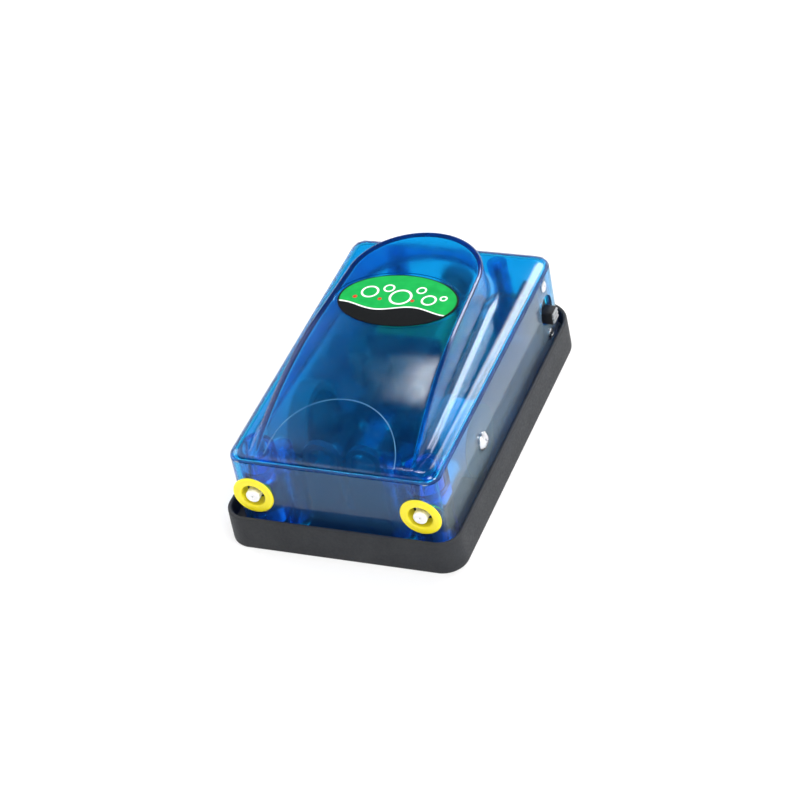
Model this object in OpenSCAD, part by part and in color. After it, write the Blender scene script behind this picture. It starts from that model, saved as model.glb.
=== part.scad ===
// Twin-outlet diaphragm air pump for an aquarium: a translucent two-shell case in a rubber
// tray. A coil swings two magnet arms, and each arm works a rubber diaphragm.
// Millimetres. +Z up, outlets towards -Y, origin on the tray's underside below the case's middle.

/* [Rubber tray] */
// Width of the tray
base_w = 84; // [83.6:0.1:85]
// Reach of the tray in front of the case's middle
base_front = 64.8; // [64.5:0.1:65.2]
// Reach of the tray behind the case's middle
base_rear = 63.3; // [63:0.1:63.6]
// Height of the tray's lip
base_h = 13; // [12:0.5:13]
// Thickness of the lip
base_wall = 1.6; // [1.4:0.1:2]
// Thickness of the tray's floor
base_floor = 3.3; // [3:0.1:3.5]
// Height of the step round the case's foot, over the floor
step_h = 3.2; // [2.5:0.1:4]
// Corner radius of the tray in front
base_r = 8; // [7:0.5:9]
// Corner radius of the tray at the rear
base_rear_r = 12; // [10:0.5:12]

/* [Case] */
// Width of the case
case_w = 74.2; // [74:0.1:74.4]
// Length of the case
case_l = 120.4; // [120:0.1:120.6]
// Corner radius of the case
case_r = 5; // [4.5:0.1:6]
// Wall of both shells
wall = 2; // [1.8:0.1:2.1]
// Height of the parting line
seam_z = 34; // [33.8:0.1:34.4]
// Rounding of the deck's edge, which is also the deck's height over the parting line
edge_r = 3; // [2.8:0.1:3.4]

/* [Hood] */
// Height of the hood's flat top
hood_top = 50.2; // [49:0.1:53]
// Radius of the hood's arch, front to top
arch_r = 125; // [120:1:130]
// Half width of the top crease at the front
crease_front = 29; // [28:0.1:30]
// Half width of the top crease where its round end starts
crease_rear = 24.2; // [23:0.1:25]
// Half width of the hood's foot at the front
foot_front = 31; // [30.5:0.1:32]
// Half width of the hood's foot where its round end starts
foot_rear = 28.2; // [27.8:0.1:29]
// Where the hood's round end is centred
round_end_y = 25.4; // [25:0.1:26]

/* [Label] */
// Width of the oval label
label_w = 43.2; // [38:0.2:44]
// Height of the oval label
label_l = 27.4; // [24:0.2:28]
// Centre of the oval label
label_y = 11; // [10:0.1:13]

/* [Air outlets] */
// Distance of each outlet from the middle
outlet_x = 29.7; // [29.6:0.1:29.8]
// Height of the outlets and of the drive
outlet_z = 20.5; // [20.4:0.1:20.6]
// Diameter of the coloured ring
ring_d = 14.4; // [13:0.1:14.6]
// Bore of the coloured ring
ring_bore = 8.4; // [8:0.1:8.8]
// How far the ring stands out of the case
ring_t = 0.8; // [0.7:0.1:1.2]
// Diameter of the nozzle that the air line slips over
nozzle_d = 4.8; // [4.6:0.1:5]

/* [Pump heads] */
// Place of the pump heads, front to rear
head_y = -21.3; // [-21.6:0.1:-21]
// Diameter of a pump head
head_d = 25; // [24.6:0.1:25]
// Spacing of a head's two valve ports
port_pitch = 12; // [12:0.1:12.2]

/* [Swinging arms] */
// Distance of each arm from the middle
arm_x = 7.75; // [7.7:0.05:7.9]
// Place of the arm pivots, front to rear
pivot_y = -42; // [-42.2:0.1:-41.8]
// Diameter of the pivot pins
pivot_d = 2.5; // [2.4:0.1:2.6]

/* [Coil] */
// Width of the laminated core
core_w = 42; // [41:0.5:43]
// Height of the lamination stack
core_h = 14; // [13:0.5:14]
// Front of the core's legs
core_front = 8; // [8:0.1:9]
// Length of the core
core_l = 30; // [29:0.5:31]

/* [Flow switch] */
// Place of the switch, front to rear
switch_y = 48; // [47.8:0.1:48.2]
// Height of the switch's middle
switch_z = 21.3; // [21.1:0.1:21.5]
// Spacing of the switch's two screws
switch_pitch = 20.5; // [20:0.1:20.6]
// Travel of the switch's knob
switch_travel = 3.8; // [3:0.1:3.8]

/* [Hidden] */
$fn = 64;

RIGHT = 1;
LEFT = -1;
SIDES = [LEFT, RIGHT];
CORNERS = [[1, 1], [-1, 1], [-1, -1], [1, -1]];
gap = 0.1;            // between neighbours that are screwed or pushed together
snug = 0.05;          // between neighbours that are held tight
press = 0.02;         // between a bush or pin and the hole that it's pressed into
over = 1;             // how far a cut runs past the face that it opens

// Colours of the pieces
BLUE = [0.05, 0.16, 0.55, 0.55];
BLACK = [0.09, 0.09, 0.10];
YELLOW = [0.98, 0.86, 0.10];
WHITE = [0.93, 0.93, 0.91];
GREY = [0.30, 0.31, 0.33];
MILKY = [0.80, 0.82, 0.82];
STEEL = [0.75, 0.76, 0.78];
IRON = [0.34, 0.35, 0.37];
COPPER = [0.72, 0.42, 0.22];
GREEN = [0.10, 0.55, 0.28];
RED = [0.75, 0.12, 0.10];
FELT = [0.80, 0.80, 0.76];

// Case levels and half sizes
case_x = case_w / 2;
case_y = case_l / 2;
case_bottom = base_floor;
floor_top = case_bottom + wall;
root_z = case_bottom + 1; // posts and pads grow out of the floor from here
inside_x = case_x - wall;
inside_y = case_y - wall;
inside_r = case_r - wall;
deck_z = seam_z + edge_r;
lip_t = 1.2;          // tongue of the cover, inside the lower case
lip_h = 2;
lip_bottom = seam_z - lip_h;
lip_root = 0.6;       // how far the tongue runs up into the deck's edge

// Screw posts that join the two shells
post_x = 19.1;
post_y = 53;
post_r = 4;
post_top = 28.4;
cover_post_r = 3.6;
cover_post_top = deck_z - 0.9;
cover_screw_r = 1.5;
cover_head_r = 3;
cover_head_t = 2;
cover_head_top = case_bottom + 3.2;
cover_screw_top = 33.5;
cover_screw_room = 0.5; // blind hole past the screw's tip

// Air inlet in the floor
filter_y = -12;
filter_r = 11;
filter_top = floor_top + 3;
filter_wall = 1.6;    // cup that holds the felt
filter_roof = 1;
filter_clear = 0.2;
inlet_hole_r = 1.5;
inlet_ring_r = 6.2;
vent_w = 6;
vent_depth = 1.5;

// Openings in the tray's floor, and the room round the case's foot
tray_vent_r = filter_r + 3;
tray_screw_r = cover_head_r + 1;
step_gap = 0.15;

// Outlets
pillar_r = 6.5;
pillar_y = -52;
pillar_top = seam_z - gap;
pillar_socket_r = 4.2;
pillar_socket_bottom = 27.5;
ring_seat_r = 5.2;
ring_seat_depth = 4;
ring_edge = 0.6;
nozzle_r = nozzle_d / 2;
nozzle_body_r = 3.4;
nozzle_bore_r = 1.1;
nozzle_proud = 0.5;   // past the ring's face
nozzle_tip_y = -case_y - ring_t - nozzle_proud;
seat_y = -case_y + ring_seat_depth;
nozzle_body_end = pillar_y + pillar_r;
nozzle_barb_end = nozzle_body_end + 5;
stub_l = 5.2;         // outlet stub of a pump head
hose_r = 3.1;
hose_bore_r = nozzle_r + press;
hose_clear = 0.3;

// Pump heads, measured inwards from the case wall
head_r = head_d / 2;
head_outer = inside_x - gap;
head_inner = head_outer - 9;
plate_t = 2.4;
plate_inner = head_inner - plate_t;
rim_t = 1.4;
rim_inner = plate_inner - rim_t;
clamp_t = 1.5;
clamp_inner = rim_inner - clamp_t;
clamp_skirt_end = head_inner + 1.1;
clamp_r = head_r + 1.3;
chamber_r = 4;
chamber_depth = 6;
valve_hole_r = 1.6;
flap_r = 2.5;
flap_t = 0.6;
flap_bead_r = 0.45;
flap_bead_l = 3.6;
flap_neck_w = 2.8;
flap_hinge_z = outlet_z + 2.9;
outlet_flap_x = head_inner + gap + flap_bead_r;
inlet_flap_x = plate_inner - gap - flap_bead_r;
side_screw_r = 1.5;
side_head_r = 3.3;
side_head_t = 2;
side_screw_l = 5.6;
side_screw_room = 0.3; // blind hole past the screw's tip
cross_w = 1;          // cross recess of a screw head

// Arms
pivot_r = pivot_d / 2;
bush_r = 2.6;
running = 0.05;       // radial clearance of the pivots
eye_r = 4.4;
eye_bottom = outlet_z - 3.8;
eye_top = outlet_z + 3.4;
arm_t = 4;
arm_h = 6.6;
boss_r = 4;
boss_outer = 12.9;
arm_end_y = -0.5;
magnet_w = 7;
magnet_l = 5;
magnet_h = 13;
magnet_y = 1.2;
holder_wall = 1.2;
holder_l = 4.5;
stud_r = 1.2;
stud_head_r = 2.2;
stud_head_t = 1.7;
stud_end = 15;
pin_head_r = 2;
pin_head_t = 0.9;

// Diaphragm
dia_boss_inner = boss_outer + gap;
dia_boss_r = 3.6;
dia_boss_t = 1.8;
bell_r = 10.7;        // outside of the bell at its clamped rim
bell_wall = 1.1;
bell_shoulder = 19.4; // where the slope meets the rim
bell_knee = [7.4, 16]; // bend of the slope: radius, distance from the middle
bell_floor = 16.4;    // inner face of the boss

// Bracket that carries the pivots
pad_top = floor_top + 3;
pad_x = 14.8;
pad_front = -52;
pad_rear = -36;
bracket_t = 2.5;
bracket_x = pad_x - 0.4;
bracket_front = -50.5;
arch_outer_r = 6.2;
arch_window_r = 4;
arch_z = 30.6;
ear_low = outlet_z - 6.6;
ear_high = outlet_z + 3.7;
ear_t = 2.5;
ear_r = 4;
bracket_screw_x = 12.4;
bracket_screw_y = -39;
small_screw_r = 1.1;
small_head_r = 2.1;
small_head_t = 1.5;
bracket_screw_bite = 2.6; // depth of the screws in the pad

// Core and coil
core_z = outlet_z;
core_rear = core_front + core_l;
leg_w = 12;
outer_leg_w = 7;
yoke_l = 8;
bobbin_wall = 1;
bobbin_gap = 0.2;
bobbin_front = core_front + 1;
bobbin_rear = core_rear - yoke_l - 2 * bobbin_gap;
flange_t = 1.2;
flange_x = core_w / 2 - outer_leg_w - 3 * bobbin_gap;
flange_z = 14.2;
winding_inset = 0.8;
tape_t = 0.4;
core_screw_x = 17.5;
core_screw_y = core_rear - yoke_l / 2;
core_foot_y = core_front + 4;
core_foot_r = 3.4;
core_screw_r = 1.5;
core_screw_bite = 6;  // depth of the screws in their feet
core_head_r = 2.8;
core_head_t = 2;

// Switch, measured inwards from the case wall
window_r = 5.5;
frame_outer = inside_x - gap;
frame_t = 0.8;
frame_inner = frame_outer - frame_t;
frame_w = 9;
frame_h = 24.8;
switch_box_outer = frame_inner - snug;
switch_box_depth = 6;
switch_box_inner = switch_box_outer - switch_box_depth;
switch_box_h = 15;
knob_w = 5;
knob_outer = 40.4;
knob_rest_z = switch_z - switch_travel / 2;
stem_w = 3;
slider_w = 4.4;
slider_h = 6;
slider_t = 1.6;
slider_inner = switch_box_outer - 2.6;
knob_clear = 0.3;
blade_pitch = 4;
blade_l = 3.6;
blade_t = 0.5;
blade_w = 2;
diode_r = 1.2;
diode_l = 2.8;
diode_wire_r = 0.3;
diode_clear = 0.45;   // from the blades to the diode's axis
switch_head_r = 2;
switch_head_t = 1;
switch_screw_bite = 2;

// Cord inlet in the rear wall
cord_z = 20.5;
cord_bore_r = 2.6;
gland_neck_r = 5;
gland_flange_r = 6.2;
gland_flange_t = 1.6;
gland_relief_r = 3.2;
gland_lip_r = 5.6;
gland_lip_l = 2.5;

function lerp(a, b, t) = a + (b - a) * t;

// Shared shapes

module on_side(side) {
    mirror([side == LEFT ? 1 : 0, 0, 0])
        children();
}

// A rod along +X, +Y or +Z from a point
module rod_x(p, l, r) {
    translate(p)
        rotate([0, 90, 0])
            cylinder(h = l, r = r);
}

module rod_y(p, l, r) {
    translate(p)
        rotate([-90, 0, 0])
            cylinder(h = l, r = r);
}

module rod_z(p, l, r) {
    translate(p)
        cylinder(h = l, r = r);
}

// A box from its two opposite corners
module box(low, high) {
    translate(low)
        cube(high - low);
}

module rounded_block(half_x, half_y, h, r) {
    translate([-half_x + r, -half_y, 0])
        cube([2 * (half_x - r), 2 * half_y, h]);
    translate([-half_x, -half_y + r, 0])
        cube([2 * half_x, 2 * (half_y - r), h]);
    for (c = CORNERS)
        translate([c[0] * (half_x - r), c[1] * (half_y - r), 0])
            cylinder(h = h, r = r);
}

// The same block as one smooth skin
module soft_block(half_x, half_y, h, r) {
    hull()
        for (c = CORNERS)
            translate([c[0] * (half_x - r), c[1] * (half_y - r), 0])
                cylinder(h = h, r = r, $fn = 32);
}

// A slab whose edge is rounded over its whole height
module pillow_block(half_x, half_y, r, edge) {
    hull()
        for (c = CORNERS)
            translate([c[0] * (half_x - r), c[1] * (half_y - r), 0])
                rotate_extrude($fn = 32)
                    polygon(concat(
                        [[0, 0]],
                        [for (a = [0:15:90]) [r - edge + edge * cos(a), edge * sin(a)]],
                        [[0, edge]]));
}

module cross_recess(depth, size) {
    for (turn = [0, 90])
        rotate([0, 0, turn])
            translate([-size / 2, -cross_w / 2, -depth])
                cube([size, cross_w, depth + over]);
}

// A cross-head screw that points down from the origin, head above it
module screw(shank_r, shank_l, head_r, head_t) {
    difference() {
        union() {
            translate([0, 0, -shank_l])
                cylinder(h = shank_l, r = shank_r);
            cylinder(h = head_t, r1 = head_r, r2 = head_r * 0.8);
        }
        translate([0, 0, head_t])
            cross_recess(head_t * 0.6, head_r * 1.1);
    }
}

// Places children at the four screw posts
module at_posts() {
    for (c = CORNERS)
        translate([c[0] * post_x, c[1] * post_y, 0])
            children();
}

// Rubber tray

module tray_block(half_x, front, rear, h, front_r, rear_r) {
    translate([-half_x, front_r - front, 0])
        cube([2 * half_x, front + rear - front_r - rear_r, h]);
    translate([front_r - half_x, -front, 0])
        cube([2 * (half_x - front_r), 2 * front_r, h]);
    translate([rear_r - half_x, rear - 2 * rear_r, 0])
        cube([2 * (half_x - rear_r), 2 * rear_r, h]);
    for (side = [-1, 1]) {
        translate([side * (half_x - front_r), front_r - front, 0])
            cylinder(h = h, r = front_r);
        translate([side * (half_x - rear_r), rear - rear_r, 0])
            cylinder(h = h, r = rear_r);
    }
}

// A thin lip stands clear of the case, and a step inside it holds the case's foot
module rubber_base() {
    color(BLACK)
        difference() {
            tray_block(base_w / 2, base_front, base_rear, base_h, base_r, base_rear_r);
            translate([0, 0, base_floor + step_h])
                tray_block(base_w / 2 - base_wall, base_front - base_wall, base_rear - base_wall,
                    base_h, base_r - base_wall, base_rear_r - base_wall);
            translate([0, 0, base_floor])
                rounded_block(case_x + step_gap, case_y + step_gap, base_h, case_r + step_gap);
            rod_z([0, filter_y, -over], base_floor + 2 * over, tray_vent_r);
            translate([0, 0, -over])
                at_posts()
                    cylinder(h = base_floor + 2 * over, r = tray_screw_r);
            box([-vent_w / 2, filter_y, -over], [vent_w / 2, base_rear + over, vent_depth]);
        }
}

// Lower case: its walls with the outlet pillars, and its floor with all that stands on it

module case_walls() {
    pillar_bottom = floor_top + snug;
    difference() {
        translate([0, 0, case_bottom])
            rounded_block(case_x, case_y, seam_z - case_bottom, case_r);
        translate([0, 0, case_bottom - over])
            rounded_block(inside_x, inside_y, seam_z, inside_r);
    }
    for (side = SIDES)
        rod_z([side * outlet_x, pillar_y, pillar_bottom], pillar_top - pillar_bottom, pillar_r);
}

module case_floor_solid() {
    translate([0, 0, case_bottom])
        rounded_block(inside_x - snug, inside_y - snug, wall, inside_r - snug);
    for (side = SIDES)
        for (y = [core_screw_y, core_foot_y])
            rod_z([side * core_screw_x, y, root_z], core_z - core_h / 2 - root_z, core_foot_r);
    translate([0, 0, root_z])
        at_posts()
            cylinder(h = post_top - root_z, r = post_r);
    box([-pad_x, pad_front, root_z], [pad_x, pad_rear, pad_top]);
    rod_z([0, filter_y, root_z], filter_top + filter_roof - root_z, filter_r + filter_wall);
}

module outlet_cuts() {
    for (side = SIDES) {
        rod_y([side * outlet_x, -case_y - over, outlet_z], ring_seat_depth + over, ring_seat_r);
        rod_y([side * outlet_x, seat_y - over, outlet_z],
              nozzle_body_end - seat_y + 2 * over, nozzle_body_r);
        rod_x([side * case_x - 2 * wall, head_y, outlet_z], 4 * wall, side_screw_r + gap);
        rod_z([side * outlet_x, pillar_y, pillar_socket_bottom], pillar_top, pillar_socket_r);
    }
}

module switch_cuts() {
    rod_x([inside_x - over, switch_y, switch_z], wall + 2 * over, window_r);
    for (end = SIDES)
        rod_x([inside_x - over, switch_y, switch_z + end * switch_pitch / 2],
              wall + 2 * over, small_screw_r + gap);
}

module floor_cuts() {
    translate([0, 0, case_bottom - over])
        at_posts() {
            cylinder(h = post_top + over, r = cover_screw_r + gap);
            cylinder(h = cover_head_top - case_bottom + over, r = cover_head_r + 2 * gap);
        }
    rod_z([0, filter_y, case_bottom - over], filter_top - case_bottom + over, filter_r);
    inlet_holes(filter_top - over, filter_roof + 2 * over);
    for (side = SIDES) {
        rod_z([side * core_screw_x, core_screw_y, floor_top], core_z, core_screw_r + gap);
        rod_z([side * bracket_screw_x, bracket_screw_y, floor_top],
              pad_top, small_screw_r + gap);
    }
}

// A hole in the middle and a ring of six around it
module inlet_holes(z, h) {
    rod_z([0, filter_y, z], h, inlet_hole_r);
    for (a = [0:60:300])
        rod_z([inlet_ring_r * cos(a), filter_y + inlet_ring_r * sin(a), z], h, inlet_hole_r);
}

module lower_case() {
    color(BLUE)
        difference() {
            case_walls();
            outlet_cuts();
            switch_cuts();
            rod_y([0, inside_y - over, cord_z], wall + 2 * over, gland_neck_r);
        }
}

module case_floor() {
    color(BLUE)
        difference() {
            case_floor_solid();
            floor_cuts();
        }
}

// Upper cover: deck, hood, tongue and screw posts

straight_steps = 14;
round_steps = 12;
side_rows = 6;
hood_front_y = -57.5;
hollow_inset = 0.2;    // from the hood's foot to that of the hollow, which lies lower
stations = straight_steps + round_steps;
ring_count = 2 * stations + 1;

// Height of the hood's ridge: an arch at the front that runs out into the flat top
function hood_z(y) = y < 0 ? hood_top - arch_r + sqrt(arch_r * arch_r - y * y) : hood_top;

// Right half of an outline that is straight at the sides and round at the rear
function half_outline(front_w, rear_w, front_y) = concat(
    [for (i = [0:straight_steps])
        let (t = i / straight_steps)
        [lerp(front_w, rear_w, t), lerp(front_y, round_end_y, t)]],
    [for (i = [1:round_steps])
        let (a = 90 * i / round_steps)
        [i < round_steps ? rear_w * cos(a) : 0, round_end_y + rear_w * sin(a)]]);

// How far out the side stands at a share of its height: a draft with a hollow at the foot
function flare(h) = 0.6 * (1 - h) + 0.4 * pow(1 - h, 4);

// One closed ring of the hood, from the foot (h = 0) to the crease (h = 1)
function hood_ring(h, crease, foot, foot_z, drop) =
    let (half = [for (i = [0:stations])
        let (p = crease[i] + (foot[i] - crease[i]) * flare(h))
        [p[0], p[1], lerp(foot_z, hood_z(crease[i][1]) - drop, h)]])
    concat([for (p = half) [-p[0], p[1], p[2]]],
           [for (i = [stations - 1:-1:0]) half[i]]);

module hood_solid(inset, foot_inset, foot_z, drop) {
    front_y = hood_front_y + inset;
    crease = half_outline(crease_front - inset, crease_rear - inset, front_y);
    foot = half_outline(foot_front - foot_inset, foot_rear - foot_inset, front_y);
    rings = [for (k = [0:side_rows]) hood_ring(k / side_rows, crease, foot, foot_z, drop)];
    top = side_rows * ring_count;
    sides = [for (k = [0:side_rows - 1], j = [0:ring_count - 1])
        let (a = k * ring_count + j,
             b = k * ring_count + (j + 1) % ring_count,
             c = b + ring_count,
             d = a + ring_count)
        each [[a, b, c], [a, c, d]]];
    roof = [for (i = [0:stations - 1])
        let (l0 = top + i,
             l1 = top + i + 1,
             r0 = top + ring_count - 1 - i,
             r1 = top + ring_count - 2 - i)
        each l1 == r1 ? [[l0, l1, r0]] : [[l0, l1, r1], [l0, r1, r0]]];
    underside = [[for (j = [ring_count - 1:-1:0]) j]];
    polyhedron(points = [for (r = rings) each r], faces = concat(sides, roof, underside));
}

// Shallow oval seat for the label
seat_margin = 1.2;
seat_depth = 0.4;
label_lift = 0.03;    // film of glue under the label

module label_oval(margin, h) {
    translate([0, label_y, hood_top - seat_depth])
        resize([label_w + 2 * margin, label_l + 2 * margin, h])
            cylinder(h = h, r = label_w / 2, $fn = 72);
}

// Raised line in a half circle on the hood's front slope
crest_line_r = 24.5;
crest_line_w = 0.9;
crest_line_h = 0.25;

module crest_line() {
    intersection() {
        hood_solid(0, 0, deck_z - 1, -crest_line_h);
        translate([0, -case_y, seam_z])
            difference() {
                cylinder(h = hood_top, r = crest_line_r, $fn = 96);
                translate([0, 0, -over])
                    cylinder(h = hood_top + 2 * over, r = crest_line_r - crest_line_w, $fn = 96);
            }
    }
}

module cover_shell() {
    difference() {
        union() {
            translate([0, 0, seam_z])
                pillow_block(case_x, case_y, case_r, edge_r);
            hood_solid(0, 0, deck_z - 1, 0);
            crest_line();
        }
        translate([0, 0, seam_z - gap])
            pillow_block(inside_x, inside_y, inside_r, edge_r - wall + gap);
        hood_solid(wall, hollow_inset, seam_z - over, wall);
        label_oval(seat_margin, seat_depth + over);
    }
}

// The tongue is left out beside the switch, the pump heads and the front pillars
module cover_tongue() {
    difference() {
        translate([0, 0, lip_bottom])
            soft_block(inside_x - gap, inside_y - gap, lip_h + lip_root, inside_r - gap);
        translate([0, 0, lip_bottom - over])
            soft_block(inside_x - lip_t, inside_y - lip_t, 2 * lip_h + over, inside_r - lip_t);
        box([0, switch_y - frame_w, lip_bottom - over], [case_x, switch_y + frame_w, seam_z]);
        box([-case_x, head_y - head_r, lip_bottom - over], [case_x, head_y + head_r, seam_z]);
        box([-case_x, -case_y, lip_bottom - over], [case_x, pillar_y + pillar_r + over, seam_z]);
    }
}

module cover_post() {
    disc = 1;
    difference() {
        hull()
            for (z = [post_top + gap, cover_post_top - disc])
                translate([0, 0, z])
                    cylinder(h = disc, r = cover_post_r, $fn = 32);
        translate([0, 0, post_top - over])
            cylinder(h = cover_screw_top + cover_screw_room - post_top + over, r = cover_screw_r,
                     $fn = 32);
    }
}

module upper_cover() {
    color(BLUE)
        union() {
            cover_shell();
            cover_tongue();
            at_posts()
                cover_post();
        }
}

module label_plate() {
    color(GREEN)
        translate([0, 0, label_lift])
            label_oval(0, seat_depth - snug);
}

// Outlets

module outlet_ring(side) {
    color(YELLOW)
        on_side(side)
            translate([outlet_x, -case_y - snug, outlet_z])
                rotate([90, 0, 0])
                    rotate_extrude()
                        polygon(concat(
                            [[ring_bore / 2, -ring_seat_depth + gap],
                             [ring_seat_r - snug, -ring_seat_depth + gap],
                             [ring_seat_r - snug, 0],
                             [ring_d / 2, 0]],
                            [for (a = [0:15:90])
                                [ring_d / 2 - ring_edge * (1 - cos(a)),
                                 ring_t - ring_edge * (1 - sin(a))]],
                            [[ring_bore / 2, ring_t]]));
}

module outlet_nozzle(side) {
    color(WHITE)
        on_side(side)
            difference() {
                union() {
                    rod_y([outlet_x, nozzle_tip_y, outlet_z],
                          nozzle_barb_end - nozzle_tip_y, nozzle_r);
                    rod_y([outlet_x, seat_y, outlet_z],
                          nozzle_body_end - seat_y, nozzle_body_r - snug);
                }
                rod_y([outlet_x, nozzle_tip_y - over, outlet_z],
                      nozzle_barb_end - nozzle_tip_y + 2 * over, nozzle_bore_r);
            }
}

module air_hose(side) {
    hose_front = nozzle_body_end + hose_clear;
    hose_rear = head_y - clamp_r - hose_clear;
    color(MILKY)
        on_side(side)
            difference() {
                rod_y([outlet_x, hose_front, outlet_z], hose_rear - hose_front, hose_r);
                rod_y([outlet_x, hose_front - over, outlet_z],
                      hose_rear - hose_front + 2 * over, hose_bore_r);
            }
}

// Pump heads

module head_body(side) {
    stub_front = head_y - head_r - stub_l;
    outlet_port_y = head_y - port_pitch / 2;
    inlet_port_y = head_y + port_pitch / 2;
    color(GREY)
        on_side(side)
            difference() {
                union() {
                    rod_x([head_inner, head_y, outlet_z], head_outer - head_inner, head_r);
                    rod_y([outlet_x, stub_front, outlet_z], head_r + stub_l - chamber_r, nozzle_r);
                }
                for (y = [outlet_port_y, inlet_port_y])
                    rod_x([head_inner - over, y, outlet_z], chamber_depth + over, chamber_r);
                rod_y([outlet_x, stub_front - over, outlet_z],
                      outlet_port_y - stub_front + over, nozzle_bore_r);
                rod_y([outlet_x, inlet_port_y, outlet_z], head_r, inlet_hole_r);
                rod_x([head_outer - side_screw_l, head_y, outlet_z], side_screw_l + over,
                      side_screw_r + snug);
            }
}

module valve_plate(side) {
    color(WHITE)
        on_side(side)
            difference() {
                rod_x([plate_inner + snug, head_y, outlet_z], plate_t - 2 * snug, head_r);
                for (end = SIDES)
                    rod_x([plate_inner - over, head_y + end * port_pitch / 2, outlet_z],
                          plate_t + 2 * over, valve_hole_r);
            }
}

// A round rubber flap that hangs from a bead along Y
module flap(x, y) {
    rod_y([x, y - flap_bead_l / 2, flap_hinge_z], flap_bead_l, flap_bead_r);
    rod_x([x - flap_t / 2, y, outlet_z], flap_t, flap_r);
    box([x - flap_t / 2, y - flap_neck_w / 2, outlet_z],
        [x + flap_t / 2, y + flap_neck_w / 2, flap_hinge_z]);
}

module inlet_flap(side) {
    color(BLACK)
        on_side(side)
            flap(inlet_flap_x, head_y + port_pitch / 2);
}

module outlet_flap(side) {
    color(BLACK)
        on_side(side)
            flap(outlet_flap_x, head_y - port_pitch / 2);
}

// A rubber bell: clamped rim, thin slope and a boss on the arm
module diaphragm(side) {
    color(BLACK)
        on_side(side)
            difference() {
                translate([0, head_y, outlet_z])
                    rotate([0, 90, 0])
                        rotate_extrude()
                            polygon([
                                [0, dia_boss_inner],
                                [dia_boss_r, dia_boss_inner],
                                [dia_boss_r, dia_boss_inner + dia_boss_t],
                                bell_knee,
                                [bell_r, bell_shoulder],
                                [bell_r, rim_inner],
                                [head_r, rim_inner],
                                [head_r, plate_inner],
                                [bell_r - bell_wall, plate_inner],
                                [bell_r - bell_wall, bell_shoulder + 0.4 * bell_wall],
                                bell_knee + bell_wall * [-0.75, 0.9],
                                [0, bell_floor]]);
                rod_x([dia_boss_inner - over, head_y, outlet_z],
                      stud_end - dia_boss_inner + over + gap, stud_r + snug);
            }
}

// Collar that snaps over the head and holds the diaphragm's rim
module head_clamp(side) {
    color(BLACK)
        on_side(side)
            difference() {
                rod_x([clamp_inner, head_y, outlet_z], clamp_skirt_end - clamp_inner, clamp_r);
                rod_x([clamp_inner - over, head_y, outlet_z], clamp_t + 2 * over, head_r - clamp_t);
                rod_x([rim_inner - snug, head_y, outlet_z],
                      clamp_skirt_end - rim_inner + over, head_r + snug);
            }
}

// Arms

module arm(side) {
    magnet_x0 = arm_x - magnet_w / 2;
    magnet_x1 = arm_x + magnet_w / 2;
    magnet_z0 = outlet_z - magnet_h / 2;
    magnet_z1 = outlet_z + magnet_h / 2;
    color(BLACK)
        on_side(side)
            difference() {
                union() {
                    rod_z([arm_x, pivot_y, eye_bottom], eye_top - eye_bottom, eye_r);
                    box([arm_x - arm_t / 2, pivot_y, outlet_z - arm_h / 2],
                        [arm_x + arm_t / 2, arm_end_y, outlet_z + arm_h / 2]);
                    rod_x([arm_x, head_y, outlet_z], boss_outer - arm_x, boss_r);
                    box([magnet_x0 - holder_wall, arm_end_y - over, magnet_z0 - holder_wall],
                        [magnet_x1 + holder_wall, holder_l, magnet_z1 + holder_wall]);
                }
                rod_z([arm_x, pivot_y, eye_bottom - over], eye_top - eye_bottom + 2 * over, bush_r);
                rod_x([0, head_y, outlet_z], boss_outer + over, stud_r + snug);
                box([magnet_x0, magnet_y, magnet_z0], [magnet_x1, holder_l + over, magnet_z1]);
            }
}

module magnet(side) {
    color(IRON)
        on_side(side)
            translate([arm_x, magnet_y + gap + magnet_l / 2, outlet_z])
                cube([magnet_w - gap, magnet_l, magnet_h - gap], center = true);
}

module arm_bush(side) {
    color(BLACK)
        on_side(side)
            difference() {
                rod_z([arm_x, pivot_y, eye_bottom - gap], eye_top - eye_bottom + 2 * gap,
                      bush_r - press);
                rod_z([arm_x, pivot_y, eye_bottom - over], eye_top - eye_bottom + 2 * over,
                      pivot_r + running);
            }
}

module pivot_pin(side) {
    pin_bottom = ear_low - over;
    pin_top = ear_high + ear_t + snug;
    color(STEEL)
        on_side(side) {
            rod_z([arm_x, pivot_y, pin_bottom], pin_top - pin_bottom, pivot_r);
            rod_z([arm_x, pivot_y, pin_top], pin_head_t, pin_head_r);
        }
}

module diaphragm_screw(side) {
    head_x = arm_x - arm_t / 2 - snug;
    color(STEEL)
        on_side(side)
            translate([head_x, head_y, outlet_z])
                rotate([0, -90, 0])
                    screw(stud_r, stud_end - head_x, stud_head_r, stud_head_t);
}

module arm_bracket() {
    rear = bracket_front + bracket_t;
    bottom = pad_top + snug;
    color(BLUE)
        difference() {
            union() {
                box([-bracket_x, bracket_front, bottom], [bracket_x, pad_rear, bottom + bracket_t]);
                for (side = SIDES) {
                    box([side * arm_x - arch_outer_r, bracket_front, bottom],
                        [side * arm_x + arch_outer_r, rear, arch_z]);
                    rod_y([side * arm_x, bracket_front, arch_z], bracket_t, arch_outer_r);
                    for (z = [ear_low, ear_high]) {
                        box([side * arm_x - ear_r, rear - over, z],
                            [side * arm_x + ear_r, pivot_y, z + ear_t]);
                        rod_z([side * arm_x, pivot_y, z], ear_t, ear_r);
                    }
                }
            }
            for (side = SIDES) {
                rod_y([side * arm_x, bracket_front - over, arch_z], bracket_t + 2 * over,
                      arch_window_r);
                rod_z([side * arm_x, pivot_y, ear_low - over], ear_high - ear_low + ear_t + 2 * over,
                      pivot_r + press / 2);
                rod_z([side * bracket_screw_x, bracket_screw_y, bottom - over],
                      bracket_t + 2 * over, small_screw_r + gap);
            }
        }
}

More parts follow.
